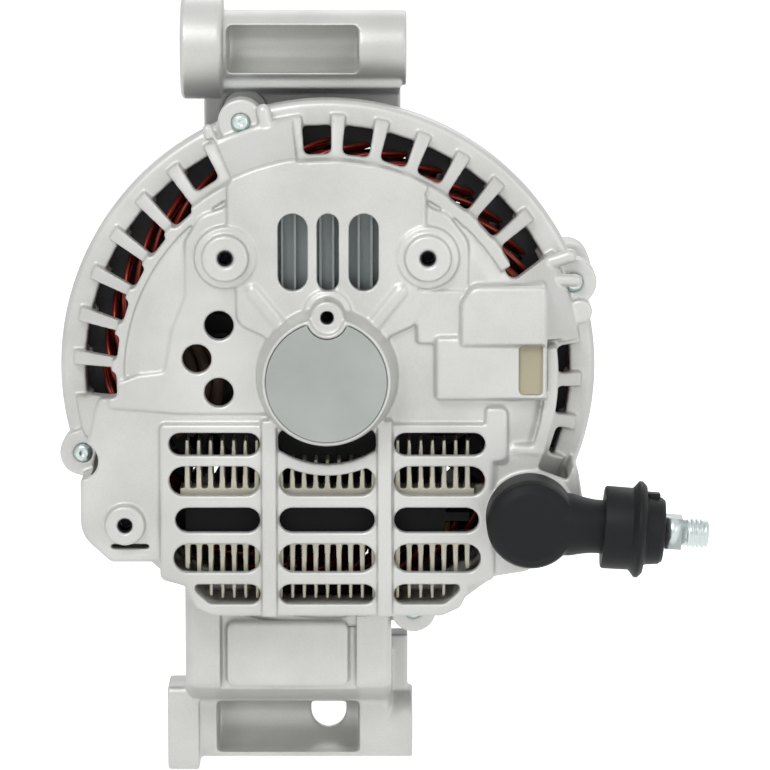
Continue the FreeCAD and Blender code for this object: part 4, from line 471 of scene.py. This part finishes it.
class Workshop:
    """Turns meshes and curves into finished pieces."""

    quick_voxels = 1.6

    def __init__(self, paint: Paintbox) -> None:
        """Keep the materials at hand."""
        self.paint = paint

    def piece(self, name: str, data: object, body: str, slot: str,
              replaces: Sequence[str] = ()) -> bpy.types.Object:
        """Make a piece that rides on a body.

        Args:
            name: Name of the piece.
            data: Mesh, curve or bmesh in the frame's place.
            body: Body that it rides on.
            slot: Material slot of its finish.
            replaces: CAD nodes that it stands for.

        Returns:
            The piece.
        """
        if isinstance(data, bmesh.types.BMesh):
            mesh = bpy.data.meshes.new(name)
            data.to_mesh(mesh)
            data.free()
            data = mesh
        elif isinstance(data, bpy.types.Curve):
            data = self.swept(data)
        piece = bpy.data.objects.new(name, data)
        bpy.context.scene.collection.objects.link(piece)
        data.shade_smooth()
        self.paint.dress(piece, slot)
        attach(piece, body)
        if replaces:
            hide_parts(*replaces)
        LOG.info("%s rides on %s", name, body)
        return piece

    def swept(self, curve: bpy.types.Curve) -> bpy.types.Mesh:
        """Turn a round-section curve into a mesh.

        Args:
            curve: Curve to sweep.

        Returns:
            The mesh of its wires.
        """
        rough = bpy.data.objects.new("sweeping", curve)
        bpy.context.scene.collection.objects.link(rough)
        graph = bpy.context.evaluated_depsgraph_get()
        finished = bpy.data.meshes.new_from_object(rough.evaluated_get(graph))
        bpy.data.objects.remove(rough)
        return finished

    def cut(self, mesh: bmesh.types.BMesh, tool: bmesh.types.BMesh) -> bmesh.types.BMesh:
        """Take one solid away from another.

        Args:
            mesh: Closed solid to cut; it is freed.
            tool: Closed solid to take away; it is freed.

        Returns:
            What is left.
        """
        pair = []
        for part in (mesh, tool):
            data = bpy.data.meshes.new("cutting")
            part.to_mesh(data)
            part.free()
            pair.append(bpy.data.objects.new("cutting", data))
            bpy.context.scene.collection.objects.link(pair[-1])
        step = pair[0].modifiers.new("cut", "BOOLEAN")
        step.operation = "DIFFERENCE"
        step.solver = "EXACT"
        step.object = pair[1]
        graph = bpy.context.evaluated_depsgraph_get()
        data = bpy.data.meshes.new_from_object(pair[0].evaluated_get(graph))
        left = bmesh.new()
        left.from_mesh(data)
        bmesh.ops.remove_doubles(left, verts=left.verts, dist=1e-6)
        for part in pair:
            bpy.data.objects.remove(part)
        LOG.info("cut down to %d faces", len(left.faces))
        return left

    def worn(self, mesh: bmesh.types.BMesh, voxel: float, passes: int, faces: int) -> object:
        """Soften a solid's edges: remesh it finely, smooth it and thin it out again.

        Args:
            mesh: Closed solid, or several that overlap.
            voxel: Size of the remesh's cells in metres.
            passes: Times that the surface is smoothed.
            faces: Triangles to keep.

        Returns:
            The softened mesh.
        """
        data = bpy.data.meshes.new("softening")
        mesh.to_mesh(data)
        mesh.free()
        rough = bpy.data.objects.new("softening", data)
        bpy.context.scene.collection.objects.link(rough)
        remesh = rough.modifiers.new("remesh", "REMESH")
        remesh.mode = "VOXEL"
        remesh.voxel_size = voxel * 1.0
        smooth = rough.modifiers.new("smooth", "SMOOTH")
        smooth.factor = 0.5
        smooth.iterations = passes
        graph = bpy.context.evaluated_depsgraph_get()
        count = len(rough.evaluated_get(graph).data.polygons) * 2
        if count > faces:
            thin = rough.modifiers.new("thin", "DECIMATE")
            thin.ratio = faces / count
            graph = bpy.context.evaluated_depsgraph_get()
        finished = bpy.data.meshes.new_from_object(rough.evaluated_get(graph))
        bpy.data.objects.remove(rough)
        LOG.info("softened from %d to %d faces", count, len(finished.polygons))
        return finished


# Pieces


@dataclass
class Shoulder:
    """Low sloping shoulder of the rear bracket, with its ring of air slots.

    Lengths are in millimetres, heights are above the rim, and angles run from +X towards +Z.
    """

    foot: tuple = (3.0, 70.3)
    top: tuple = (11.0, 57.5)
    plateau: float = 59.2
    hood: float = 63.5
    face: float = 18.0
    plateau_face: float = 20.4
    above: float = 22.0
    past_foot: float = 71.5
    shelf: float = 3.6
    wall: float = 4.2
    first: float = 182.5
    pitch: float = 10.0
    widths: tuple = (7.2, 8.0)
    outer: float = 67.1
    pocket: float = 71.3
    corner: float = 1.3
    reach: tuple = (-10.0, 24.0)
    runs: tuple = ((57.6, (0, 1, 2, 3, 4, 5)), (60.8, (6,)), (59.9, (9, 10, 11, 12)),
                   (58.6, (13, 14, 15)), (63.5, (18, 19)), (65.2, (20,)))
    slit_low: tuple = (-59.6, 24.0, -48.2)
    slit_high: tuple = (-49.0, 14.5, -46.9)

    def level(self, radius: float) -> float:
        """Height of the slope at a radius."""
        share = (self.foot[1] - radius) / (self.foot[1] - self.top[1])
        return self.foot[0] + share * (self.top[0] - self.foot[0])

    def reshape(self, shop: Workshop, casting: bmesh.types.BMesh) -> bmesh.types.BMesh:
        """Lower the old shoulder, lay the new one in and cut the slots.

        Args:
            shop: Cuts one solid with another.
            casting: Copy of the bracket's node.

        Returns:
            The bracket with its new shoulder.
        """
        sectors = ((31.0, 98.0, self.plateau), (116.0, 184.0, self.plateau),
                   (-22.0, 7.0, self.hood))
        fills = ((31.0, 62.5, self.plateau, self.face),
                 (62.0, 98.0, self.plateau, self.plateau_face),
                 (116.0, 184.0, self.plateau, self.face), (-26.0, 7.0, self.hood, self.face))
        clear = [self.room(*sector) for sector in sectors]
        casting = shop.cut(shop.cut(casting, joined(clear)), self.slots())
        return joined([casting] + [shop.cut(self.slope(*fill), self.slots()) for fill in fills])

    def room(self, first: float, last: float, inner: float) -> bmesh.types.BMesh:
        """Everything above the slope in one sector.

        Args:
            first: Angle that it starts at.
            last: Angle that it ends at.
            inner: Radius of its inner edge.

        Returns:
            The solid.
        """
        low, foot = self.foot
        return ring_sector(((self.above, inner), (self.above, self.past_foot),
                            (low, self.past_foot), (low, foot), (self.level(inner), inner)),
                           first, last)

    def slope(self, first: float, last: float, inner: float, brim: float) -> bmesh.types.BMesh:
        """Sloping wall of one sector, with the face's edge above its inner end.

        Args:
            first: Angle that it starts at.
            last: Angle that it ends at.
            inner: Radius of the step up to the face.
            brim: Height of the face there.

        Returns:
            The solid.
        """
        height = self.level(inner)
        back = inner - self.shelf
        return ring_sector((self.foot, (height, inner), (brim - 0.3, inner - 0.1),
                            (brim, inner - 0.6), (brim, back), (height + 1.5, back),
                            (height - self.wall, inner), (0.4, 66.6), (0.4, self.foot[1])),
                           first, last)

    def slots(self) -> bmesh.types.BMesh:
        """Cut every slot, and the slit through the lobe.

        Returns:
            All the cutters as one mesh.
        """
        tools = [self.slot(index, inner) for inner, indexes in self.runs for index in indexes]
        corners = [(x * MM, RIM - height * MM, z * MM)
                   for x, height, z in (self.slit_low, self.slit_high)]
        tools.append(rounded_box(corners[0], corners[1], 0.0))
        return joined(tools)

    def slot(self, index: int, inner: float) -> bmesh.types.BMesh:
        """Cutter of one slot, wider outside, with a pocket above the rim.

        Args:
            index: Place in the ring.
            inner: Radius of its inner end.

        Returns:
            The cutter.
        """
        low, high = self.reach
        begin = self.runs[0][0]
        mesh = bmesh.new()
        side = ((inner, low), (inner, high), (self.pocket, high), (self.pocket, 0.0),
                (self.outer, 0.0), (self.outer, low))
        verts = [mesh.verts.new((radius * MM, RIM - height * MM, 0.0)) for radius, height in side]
        face = mesh.faces.new(verts)
        made = bmesh.ops.extrude_face_region(mesh, geom=[face])["geom"]
        far = [item for item in made if isinstance(item, bmesh.types.BMVert)]
        near = [vertex for vertex in mesh.verts if vertex not in far]
        for group, way in ((far, 1.0), (near, -1.0)):
            for vertex in group:
                share = (vertex.co.x / MM - begin) / (self.outer - begin)
                half = (self.widths[0] + share * (self.widths[1] - self.widths[0])) / 2
                vertex.co.z = way * half * MM
        upright = [edge for edge in mesh.edges
                   if abs(edge.verts[0].co.y - edge.verts[1].co.y) > -low / 2 * MM]
        bmesh.ops.bevel(mesh, geom=upright, offset=self.corner * MM, segments=3, profile=0.5,
                        affect="EDGES", clamp_overlap=True, material=-1)
        bmesh.ops.recalc_face_normals(mesh, faces=mesh.faces)
        turn = math.radians(index * self.pitch - self.first)
        return placed(mesh, Matrix.Rotation(turn, 4, "Y"))


@dataclass
class Castings:
    """The die castings, with the soft edges and slightly uneven skin of the real ones."""

    voxel: float = 0.42 * MM
    passes: int = 7
    wave: float = 0.035 * MM
    ripples: float = 90.0
    pits: float = 260.0
    nodes: tuple = (
        ("rear_bracket", 190_000),
        ("front_bracket", 120_000),
        ("upper_mount_lug", 50_000),
        ("lower_mount_lug", 70_000),
    )

    def build(self, shop: Workshop) -> None:
        """Soften every casting.

        Args:
            shop: Makes the pieces.
        """
        for node, faces in self.nodes:
            solid = node_copy(node)
            if node == "rear_bracket":
                solid = Shoulder().reshape(shop, solid)
            data = shop.worn(solid, self.voxel, self.passes, faces)
            self.uneven(data)
            shop.piece(f"{node}_casting", data, "housing", "cast_aluminium", (node,))

    def uneven(self, data: bpy.types.Mesh) -> None:
        """Move the skin in and out a little, as a worn die leaves it.

        Args:
            data: Mesh to change.
        """
        normals = [vertex.normal.copy() for vertex in data.vertices]
        for vertex, normal in zip(data.vertices, normals):
            level = noise.noise(vertex.co * self.ripples)
            level += 0.5 * noise.noise(vertex.co * self.pits)
            vertex.co += normal * level * self.wave


@dataclass
class HeatSinks:
    """The rectifier's heat sinks, with fins that taper from rounded roots."""

    root: float = 1.3
    tip: float = 0.7
    reach: float = 12.0 * MM
    pitch: float = 3.22 * MM
    fin_share: float = 0.34
    half: float = 40.0 * MM
    cap_half: float = 17.0 * MM
    cap_level: float = -24.0 * MM
    voxel: float = 0.25 * MM
    faces: int = 90_000
    bases: tuple = (("rectifier_upper_heatsink", -31.9 * MM),
                    ("rectifier_lower_heatsink", -47.7 * MM))

    def build(self, shop: Workshop) -> None:
        """Taper and soften both sinks.

        Args:
            shop: Makes the pieces.
        """
        for node, base in self.bases:
            solid = node_copy(node)
            for vertex in solid.verts:
                self.taper(vertex.co, base)
            data = shop.worn(solid, self.voxel, 2, self.faces)
            shop.piece(f"{node}_finned", data, "housing", "sink_aluminium", (node,))

    def taper(self, spot: Vector, base: float) -> None:
        """Widen a fin's root, narrow its tip and lower the ones behind the cap.

        Args:
            spot: Corner of the sink; it is moved.
            base: Height of the sink's base on Z.
        """
        share = min(abs(spot.z - base) / self.reach, 1.0)
        centre = round(spot.x / self.pitch) * self.pitch
        if abs(spot.x - centre) < self.fin_share * self.pitch and abs(spot.x) < self.half:
            scale = self.root + (self.tip - self.root) * share
            spot.x = centre + (spot.x - centre) * scale
        if abs(spot.x) < self.cap_half and spot.z > self.cap_level:
            spot.z = self.cap_level


@dataclass
class PhaseLeads:
    """Sleeved leads from the stator winding to the rectifier, seen through the round vents.

    The path's points are x, height above the rim and z, in millimetres.
    """

    path: tuple = ((-49.0, 3.6, 21.0), (-42.5, 5.2, 14.0), (-35.0, 6.6, 6.5), (-32.6, 7.2, -3.0),
                   (-35.0, 6.4, -12.0), (-38.5, 5.6, -18.0))
    across: float = 3.7
    rise: float = 0.5
    lift: float = 0.4
    thick: float = 1.75 * MM

    def build(self, shop: Workshop) -> None:
        """Lay three leads side by side.

        Args:
            shop: Makes the piece.
        """
        curve = bpy.data.curves.new("phase_leads", "CURVE")
        curve.dimensions = "3D"
        curve.bevel_depth = self.thick
        curve.bevel_resolution = 4
        curve.use_fill_caps = True
        for lane in (-1, 0, 1):
            spline = curve.splines.new("NURBS")
            spline.points.add(len(self.path) - 1)
            for point, (x, height, z) in zip(spline.points, self.path):
                point.co = ((x + lane * self.across) * MM,
                            RIM - (height + self.rise * abs(lane)) * MM,
                            (z + lane * self.lift) * MM, 1.0)
            spline.order_u = 4
            spline.use_endpoint_u = True
        leads = shop.piece("phase_leads", curve, "housing", "bare_copper")
        shop.paint.dress(leads, "lead_sleeve")


@dataclass
class Fasteners:
    """Threads in the bracket's screw holes, dark as painted shade, and the through bolts' domed
    ends.

    Lengths are in millimetres. A hole is x, z, height of its boss, radius and depth. A dome's
    profile is distance from the bolt's end and radius.
    """

    holes: tuple = ((-27.6, 32.8, 24.0, 2.1, 8.8), (27.6, 32.8, 24.0, 2.1, 8.8),
                    (-55.5, -41.2, 21.5, 2.1, 8.8), (0.2, 17.4, 30.0, 1.85, 11.8))
    countersink: float = 0.9
    half_pitch: float = 0.35
    crest: float = 0.3
    groove: float = 0.04
    sunk: float = 0.06
    bolt_circle: float = 72.1
    bolt_first: float = 19.3
    bolt_height: float = 2.5
    profile: tuple = ((0.6, 0.0), (0.6, 2.35), (-0.1, 2.3), (-0.5, 1.85), (-0.62, 1.1),
                      (-0.5, 0.75), (0.1, 0.0))

    def build(self, shop: Workshop) -> None:
        """Thread every hole, dark as painted shade, and round off every bolt.

        Args:
            shop: Makes the pieces.
        """
        shade_liners = [self.shade_liner(*hole) for hole in self.holes]
        # painted shade: the near-black core_steel liners stand for the shade inside the holes
        shop.piece("painted_shade_hole_threads", joined(shade_liners), "housing", "core_steel")
        domes = [self.dome(self.bolt_first + 90.0 * index) for index in range(4)]
        shop.piece("through_bolt_domes", joined(domes), "housing", "zinc_steel")

    def dome(self, angle: float) -> bmesh.types.BMesh:
        """Rounded bolt end with a small centre dimple.

        Args:
            angle: Place on the bolt circle, in degrees.

        Returns:
            The dome.
        """
        body = lathe([(along * MM, radius * MM) for along, radius in self.profile], 40)
        turn = math.radians(angle)
        spot = Vector((self.bolt_circle * math.cos(turn), -self.bolt_height,
                       self.bolt_circle * math.sin(turn))) * MM + Vector((0.0, RIM, 0.0))
        return placed(body, Matrix.Translation(spot) @ TO_REAR)

    def shade_liner(self, x: float, z: float, height: float, radius: float,
              depth: float) -> bmesh.types.BMesh:
        """Threaded cup that fills one hole; build gives it a dark finish as painted shade.

        Args:
            x: Centre of the hole, in millimetres.
            z: Centre of the hole.
            height: Height of the boss above the rim.
            radius: Radius of the hole.
            depth: Depth of the hole.

        Returns:
            The cup.
        """
        long = depth - self.countersink
        steps = int(long / self.half_pitch)
        line = [(0.0, 0.0)]
        for step in range(steps + 1):
            inward = self.groove if step % 2 else self.crest
            line.append((-long * step / steps, radius - inward))
        back = 0.1
        line += [(-long, radius + self.sunk), (back, radius + self.sunk), (back, 0.0)]
        cup = lathe([(along * MM, wide * MM) for along, wide in line], 32)
        spot = Vector((x * MM, RIM - (height - depth) * MM, z * MM))
        return placed(cup, Matrix.Translation(spot) @ TO_REAR)


@dataclass
class Winding:
    """Enamelled copper: the coil ends at both faces of the stator as bundles of wires."""

    slots: int = 36
    span: int = 3
    wires: int = 8
    back: float = -88.0 * MM
    front: float = -55.0 * MM
    inner: float = 51.6 * MM
    outer: float = 62.6 * MM
    outer_drop: float = 2.0 * MM
    inner_rise: float = 2.4 * MM
    overhang: float = 8.9 * MM
    lower: float = 0.62
    fan_out: float = 0.22
    ramp: float = 4.0
    sunk: float = 3.0 * MM
    looseness: float = 0.9 * MM
    bend: float = 1.4
    steps: int = 7
    wire: float = 0.6 * MM

    def build(self, shop: Workshop) -> None:
        """Lay both ends' wires.

        Args:
            shop: Makes the pieces.
        """
        for side, face, replaces in ((Side.REAR, self.back, ("stator_winding",)),
                                     (Side.FRONT, self.front, ())):
            name = f"stator_winding_{side.name.lower()}_wires"
            curve = bpy.data.curves.new(name, "CURVE")
            curve.dimensions = "3D"
            curve.bevel_depth = self.wire
            curve.bevel_resolution = 2
            curve.resolution_u = 3
            for slot in range(self.slots):
                for wire in range(self.wires):
                    self.end_turn(curve, slot, wire, face, side.value)
            shop.piece(name, curve, "housing", "enamelled_copper", replaces)

    def end_turn(self, curve: bpy.types.Curve, slot: int, wire: int, face: float,
                 side: int) -> None:
        """Lead one wire out of a slot, along the ring and into another slot.

        Args:
            curve: Curve that takes the wire.
            slot: Number of the slot that it leaves.
            wire: Number of the wire in the slot.
            face: Height of the stator's face on Y.
            side: Direction that the wire leaves in.
        """
        seed = Vector((slot * 3.7, wire * 5.3, side * 2.1))
        share = wire / (self.wires - 1)
        start = self.outer - self.outer_drop * share
        end = self.inner + self.inner_rise * share
        reach = self.overhang * (1.0 - self.lower * share)
        pitch = 2 * math.pi / self.slots
        first = (slot + self.fan_out * (share - 0.5)) * pitch
        last = self.steps + 3
        spline = curve.splines.new("NURBS")
        spline.points.add(last)
        for index in range(last + 1):
            t = min(max((index - 1.5) / self.steps, 0.0), 1.0)
            angle = first + self.span * pitch * t
            radius = start + (end - start) * t ** self.bend
            rise = reach * (min(1.0, self.ramp * t) * min(1.0, self.ramp * (1.0 - t)))
            if index in (0, last):
                rise = -self.sunk
            radius += noise.noise(seed + Vector((t * 2.0, 0.0, 0.0))) * self.looseness
            height = face + side * (rise * (0.93 + 0.07 * math.sin(slot * 2.4 + wire)))
            spline.points[index].co = (radius * math.cos(angle), height,
                                       radius * math.sin(angle), 1.0)
        spline.order_u = 4
        spline.use_endpoint_u = True


@dataclass
class Terminal:
    """Output terminal: rubber boot and shroud, and the zinc-plated stud with its thread.

    Profiles are distance along the arm and radius, in millimetres.
    """

    post: tuple = (55.7 * MM, -38.7 * MM)
    height: float = 29.0 * MM
    tilt: float = 4.0
    boot: float = 12.2 * MM
    boot_top: float = 38.0 * MM
    boot_foot: float = 20.2 * MM
    base_end: float = 41.1 * MM
    stud_end: float = 48.4 * MM
    crest: float = 4.0 * MM
    root: float = 3.35 * MM
    pitch: float = 1.25 * MM
    dome: tuple = ((0.3, 4.0), (0.9, 9.2), (2.4, 11.5))
    dome_depth: float = 4.6 * MM
    neck: tuple = ((0.0, 0.0), (0.0, 8.9), (11.0, 8.5), (14.5, 7.7), (17.0, 7.35), (24.0, 7.25),
                   (24.0, 0.0))
    collar: tuple = ((19.6, 7.3), (19.6, 11.0), (20.2, 11.3), (27.2, 11.2), (27.8, 11.9),
                     (28.8, 13.15), (29.7, 13.2), (30.9, 12.0), (31.1, 9.9), (31.6, 9.5),
                     (35.2, 9.1), (36.2, 8.3), (36.3, 5.4), (20.4, 5.4), (20.4, 7.3), (19.6, 7.3))
    tab_low: tuple = (31.0, -1.9, 8.4)
    tab_high: tuple = (34.6, 1.9, 10.4)
    rubber_voxel: float = 0.35 * MM

    def along_arm(self) -> Matrix:
        """Turn a shape on the X axis to the arm.

        Returns:
            The matrix that does it.
        """
        turn = Matrix.Rotation(math.radians(self.tilt), 4, "Y")
        spot = Vector((self.post[0], RIM - self.height, self.post[1]))
        return Matrix.Translation(spot) @ turn

    def build(self, shop: Workshop) -> None:
        """Make the boot, the shroud and the arm.

        Args:
            shop: Makes the pieces.
        """
        shop.piece("terminal_boot_rubber", self.rubber_boot(shop), "housing", "black_rubber",
                   ("terminal_boot",))
        shop.piece("terminal_shroud_rubber", self.shroud(), "housing", "black_rubber",
                   ("terminal_shroud",))
        shop.piece("terminal_arm_plated", self.arm(), "housing", "zinc_steel",
                   ("terminal_arm",))

    def rubber_boot(self, shop: Workshop) -> object:
        """Run a domed cup softly into a tapered neck.

        Args:
            shop: Softens the rubber.

        Returns:
            The boot.
        """
        top = self.height - self.boot_top
        foot = self.height - self.boot_foot
        line = [(top, 0.0)] + [(top + along * MM, radius * MM) for along, radius in self.dome]
        line += [(top + self.dome_depth, self.boot), (foot, self.boot), (foot, 0.0)]
        cup = placed(lathe(line), TO_REAR)
        neck = lathe([(along * MM, radius * MM) for along, radius in self.neck])
        solid = placed(joined([cup, neck]), self.along_arm())
        return shop.worn(solid, self.rubber_voxel, 12, 60_000)

    def shroud(self) -> bmesh.types.BMesh:
        """Turn the collar, the pointed flange and the end cap, and add the tab.

        Returns:
            The shroud.
        """
        body = lathe([(along * MM, radius * MM) for along, radius in self.collar], 96, 0.22 * MM)
        tab = rounded_box(Vector(self.tab_low) * MM, Vector(self.tab_high) * MM, 0.45 * MM)
        return placed(joined([body, tab]), self.along_arm())

    def arm(self) -> bmesh.types.BMesh:
        """Cut the plain stud off a copy of the arm and put a threaded one in its place.

        Returns:
            The arm.
        """
        arm = node_copy("terminal_arm")
        turn = self.along_arm()
        cut = turn @ Vector((self.base_end - 0.05 * MM, 0.0, 0.0))
        way = turn.to_3x3() @ Vector((1.0, 0.0, 0.0))
        bmesh.ops.bisect_plane(arm, geom=arm.verts[:] + arm.edges[:] + arm.faces[:],
                               plane_co=cut, plane_no=way, clear_outer=True)
        rim = [edge for edge in arm.edges if edge.is_boundary]
        bmesh.ops.holes_fill(arm, edges=rim, sides=0)
        stud = thread(self.base_end + 0.9 * MM, self.stud_end, self.root, self.crest, self.pitch)
        core = lathe((
            (self.base_end - 1.0 * MM, 0.0),
            (self.base_end - 1.0 * MM, self.root + 0.1 * MM),
            (self.stud_end - 0.3 * MM, self.root + 0.1 * MM),
            (self.stud_end, self.root - 0.4 * MM),
            (self.stud_end, 0.0),
        ), 48)
        return joined([arm, placed(joined([stud, core]), turn)])


def thread(start: float, end: float, root: float, crest: float,
           pitch: float) -> bmesh.types.BMesh:
    """Screw thread round the X axis.

    Args:
        start: Where it starts on X, in metres.
        end: Where it ends on X.
        root: Radius between the ridges.
        crest: Radius on the ridges.
        pitch: From ridge to ridge.

    Returns:
        The ridges' surface, tapered into the core at both ends.
    """
    mesh = bmesh.new()
    turns = max(1, int((end - start) / pitch))
    steps = 40
    line = cross_section(mesh, (
        (0.0, root), (0.36 * pitch, crest), (0.52 * pitch, crest), (0.88 * pitch, root),
        (pitch, root),
    ))
    bmesh.ops.spin(mesh, geom=line, cent=(0, 0, 0), axis=(1, 0, 0),
                   dvec=(pitch / steps, 0, 0), angle=2 * math.pi * turns,
                   steps=steps * turns, use_merge=False)
    bmesh.ops.remove_doubles(mesh, verts=mesh.verts, dist=1e-6)
    bmesh.ops.translate(mesh, vec=(start, 0, 0), verts=mesh.verts)
    for vertex in mesh.verts:
        radius = math.hypot(vertex.co.y, vertex.co.z)
        near = min(vertex.co.x - start, end - vertex.co.x)
        limit = root + max(0.0, near / pitch) * (crest - root) * 1.4
        if radius > limit:
            share = max(limit, root * 0.98) / radius
            vertex.co.y *= share
            vertex.co.z *= share
        vertex.co.x = min(vertex.co.x, end - 0.05 * MM)
    bmesh.ops.recalc_face_normals(mesh, faces=mesh.faces)
    return mesh


# Studio


@dataclass
class Studio:
    """Camera, floor and soft lights."""

    aim: tuple = (0.0159, -0.096, -0.0051)
    distance: float = 1.3
    elevation: float = 8.0
    lens: float = 218.8
    floor: float = -0.1178
    floor_glow: float = 0.75
    surround: float = 0.38
    lights: tuple = (
        ("key", (-0.35, -1.1, 0.85), 0.5, 5.9),
        ("fill", (0.9, -1.2, 0.45), 0.8, 2.6),
        ("rim", (0.2, 0.9, 0.9), 0.8, 2.5),
    )

    def build(self) -> None:
        """Make the camera, the floor, the backdrop and the lamps."""
        self.camera()
        self.backdrop()
        self.lamps()
        self.world()

    def camera(self) -> None:
        """Aim a long lens at the rear face from slightly above."""
        data = bpy.data.cameras.new("camera")
        data.lens = self.lens
        data.sensor_width = 36.0
        data.clip_start = 0.01
        camera = bpy.data.objects.new("camera", data)
        tilt = math.radians(self.elevation)
        away = Vector((0.0, -math.cos(tilt), math.sin(tilt)))
        camera.location = Vector(self.aim) + away * self.distance
        camera.rotation_euler = (math.radians(90.0) - tilt, 0.0, 0.0)
        bpy.context.scene.collection.objects.link(camera)
        bpy.context.scene.camera = camera

    def backdrop(self) -> None:
        """Lay a pale floor that shows white to the camera but keeps a soft shadow."""
        mesh = bmesh.new()
        bmesh.ops.create_grid(mesh, x_segments=1, y_segments=1, size=6.0)
        bmesh.ops.translate(mesh, vec=(0.0, 0.0, self.floor), verts=mesh.verts)
        data = bpy.data.meshes.new("floor")
        mesh.to_mesh(data)
        mesh.free()
        floor = bpy.data.objects.new("floor", data)
        bpy.context.scene.collection.objects.link(floor)
        nodes = Nodes("floor")
        nodes.shade(Base_Color=(0.9, 0.9, 0.9), Roughness=0.8, Emission_Color=(1.0, 1.0, 1.0))
        path = nodes.add("ShaderNodeLightPath").outputs
        seen = nodes.maths("MAXIMUM", path["Is Camera Ray"], path["Is Glossy Ray"])
        seen = nodes.maths("MAXIMUM", seen, path["Is Transmission Ray"])
        glow = nodes.maths("MULTIPLY", seen, self.floor_glow)
        nodes.feed(nodes.shader.inputs["Emission Strength"], glow)
        floor.data.materials.append(nodes.material)

    def lamp(self, name: str, place: tuple, size: float, power: float) -> None:
        """Hang a square area lamp that faces the machine.

        Args:
            name: Name of the lamp.
            place: Where it hangs, in metres.
            size: Side of the square.
            power: Watts.
        """
        data = bpy.data.lights.new(name, "AREA")
        data.shape = "SQUARE"
        data.size = size
        data.energy = power
        lamp = bpy.data.objects.new(name, data)
        lamp.location = place
        way = Vector(self.aim) - Vector(place)
        lamp.rotation_euler = way.to_track_quat("-Z", "Y").to_euler()
        bpy.context.scene.collection.objects.link(lamp)

    def lamps(self) -> None:
        """Light from the upper left, softly from the right and faintly from the far side."""
        for lamp in self.lights:
            self.lamp(*lamp)

    def world(self) -> None:
        """White surroundings that light softly."""
        world = bpy.data.worlds.new("world")
        bpy.context.scene.world = world
        world.use_nodes = True
        tree = world.node_tree
        back = tree.nodes["Background"]
        back.inputs["Color"].default_value = (1.0, 1.0, 1.0, 1.0)
        path = tree.nodes.new("ShaderNodeLightPath")
        seen = path.outputs["Is Camera Ray"]
        for kind in ("Is Glossy Ray", "Is Transmission Ray"):
            either = tree.nodes.new("ShaderNodeMath")
            either.operation = "MAXIMUM"
            tree.links.new(seen, either.inputs[0])
            tree.links.new(path.outputs[kind], either.inputs[1])
            seen = either.outputs[0]
        level = tree.nodes.new("ShaderNodeMapRange")
        level.inputs["To Min"].default_value = self.surround
        level.inputs["To Max"].default_value = 1.0
        tree.links.new(seen, level.inputs["Value"])
        tree.links.new(level.outputs[0], back.inputs["Strength"])
        bpy.context.scene.view_settings.view_transform = "Standard"


def main() -> None:
    """Build every piece."""
    logging.basicConfig(level=logging.INFO, format="%(relativeCreated)d %(message)s")
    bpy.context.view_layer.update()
    paint = Paintbox()
    paint.dress_nodes()
    shop = Workshop(paint)
    for assembly in (Castings(), HeatSinks(), PhaseLeads(), Fasteners(), Winding(), Terminal()):
        assembly.build(shop)
    Studio().build()


if __name__ == "__main__":
    main()
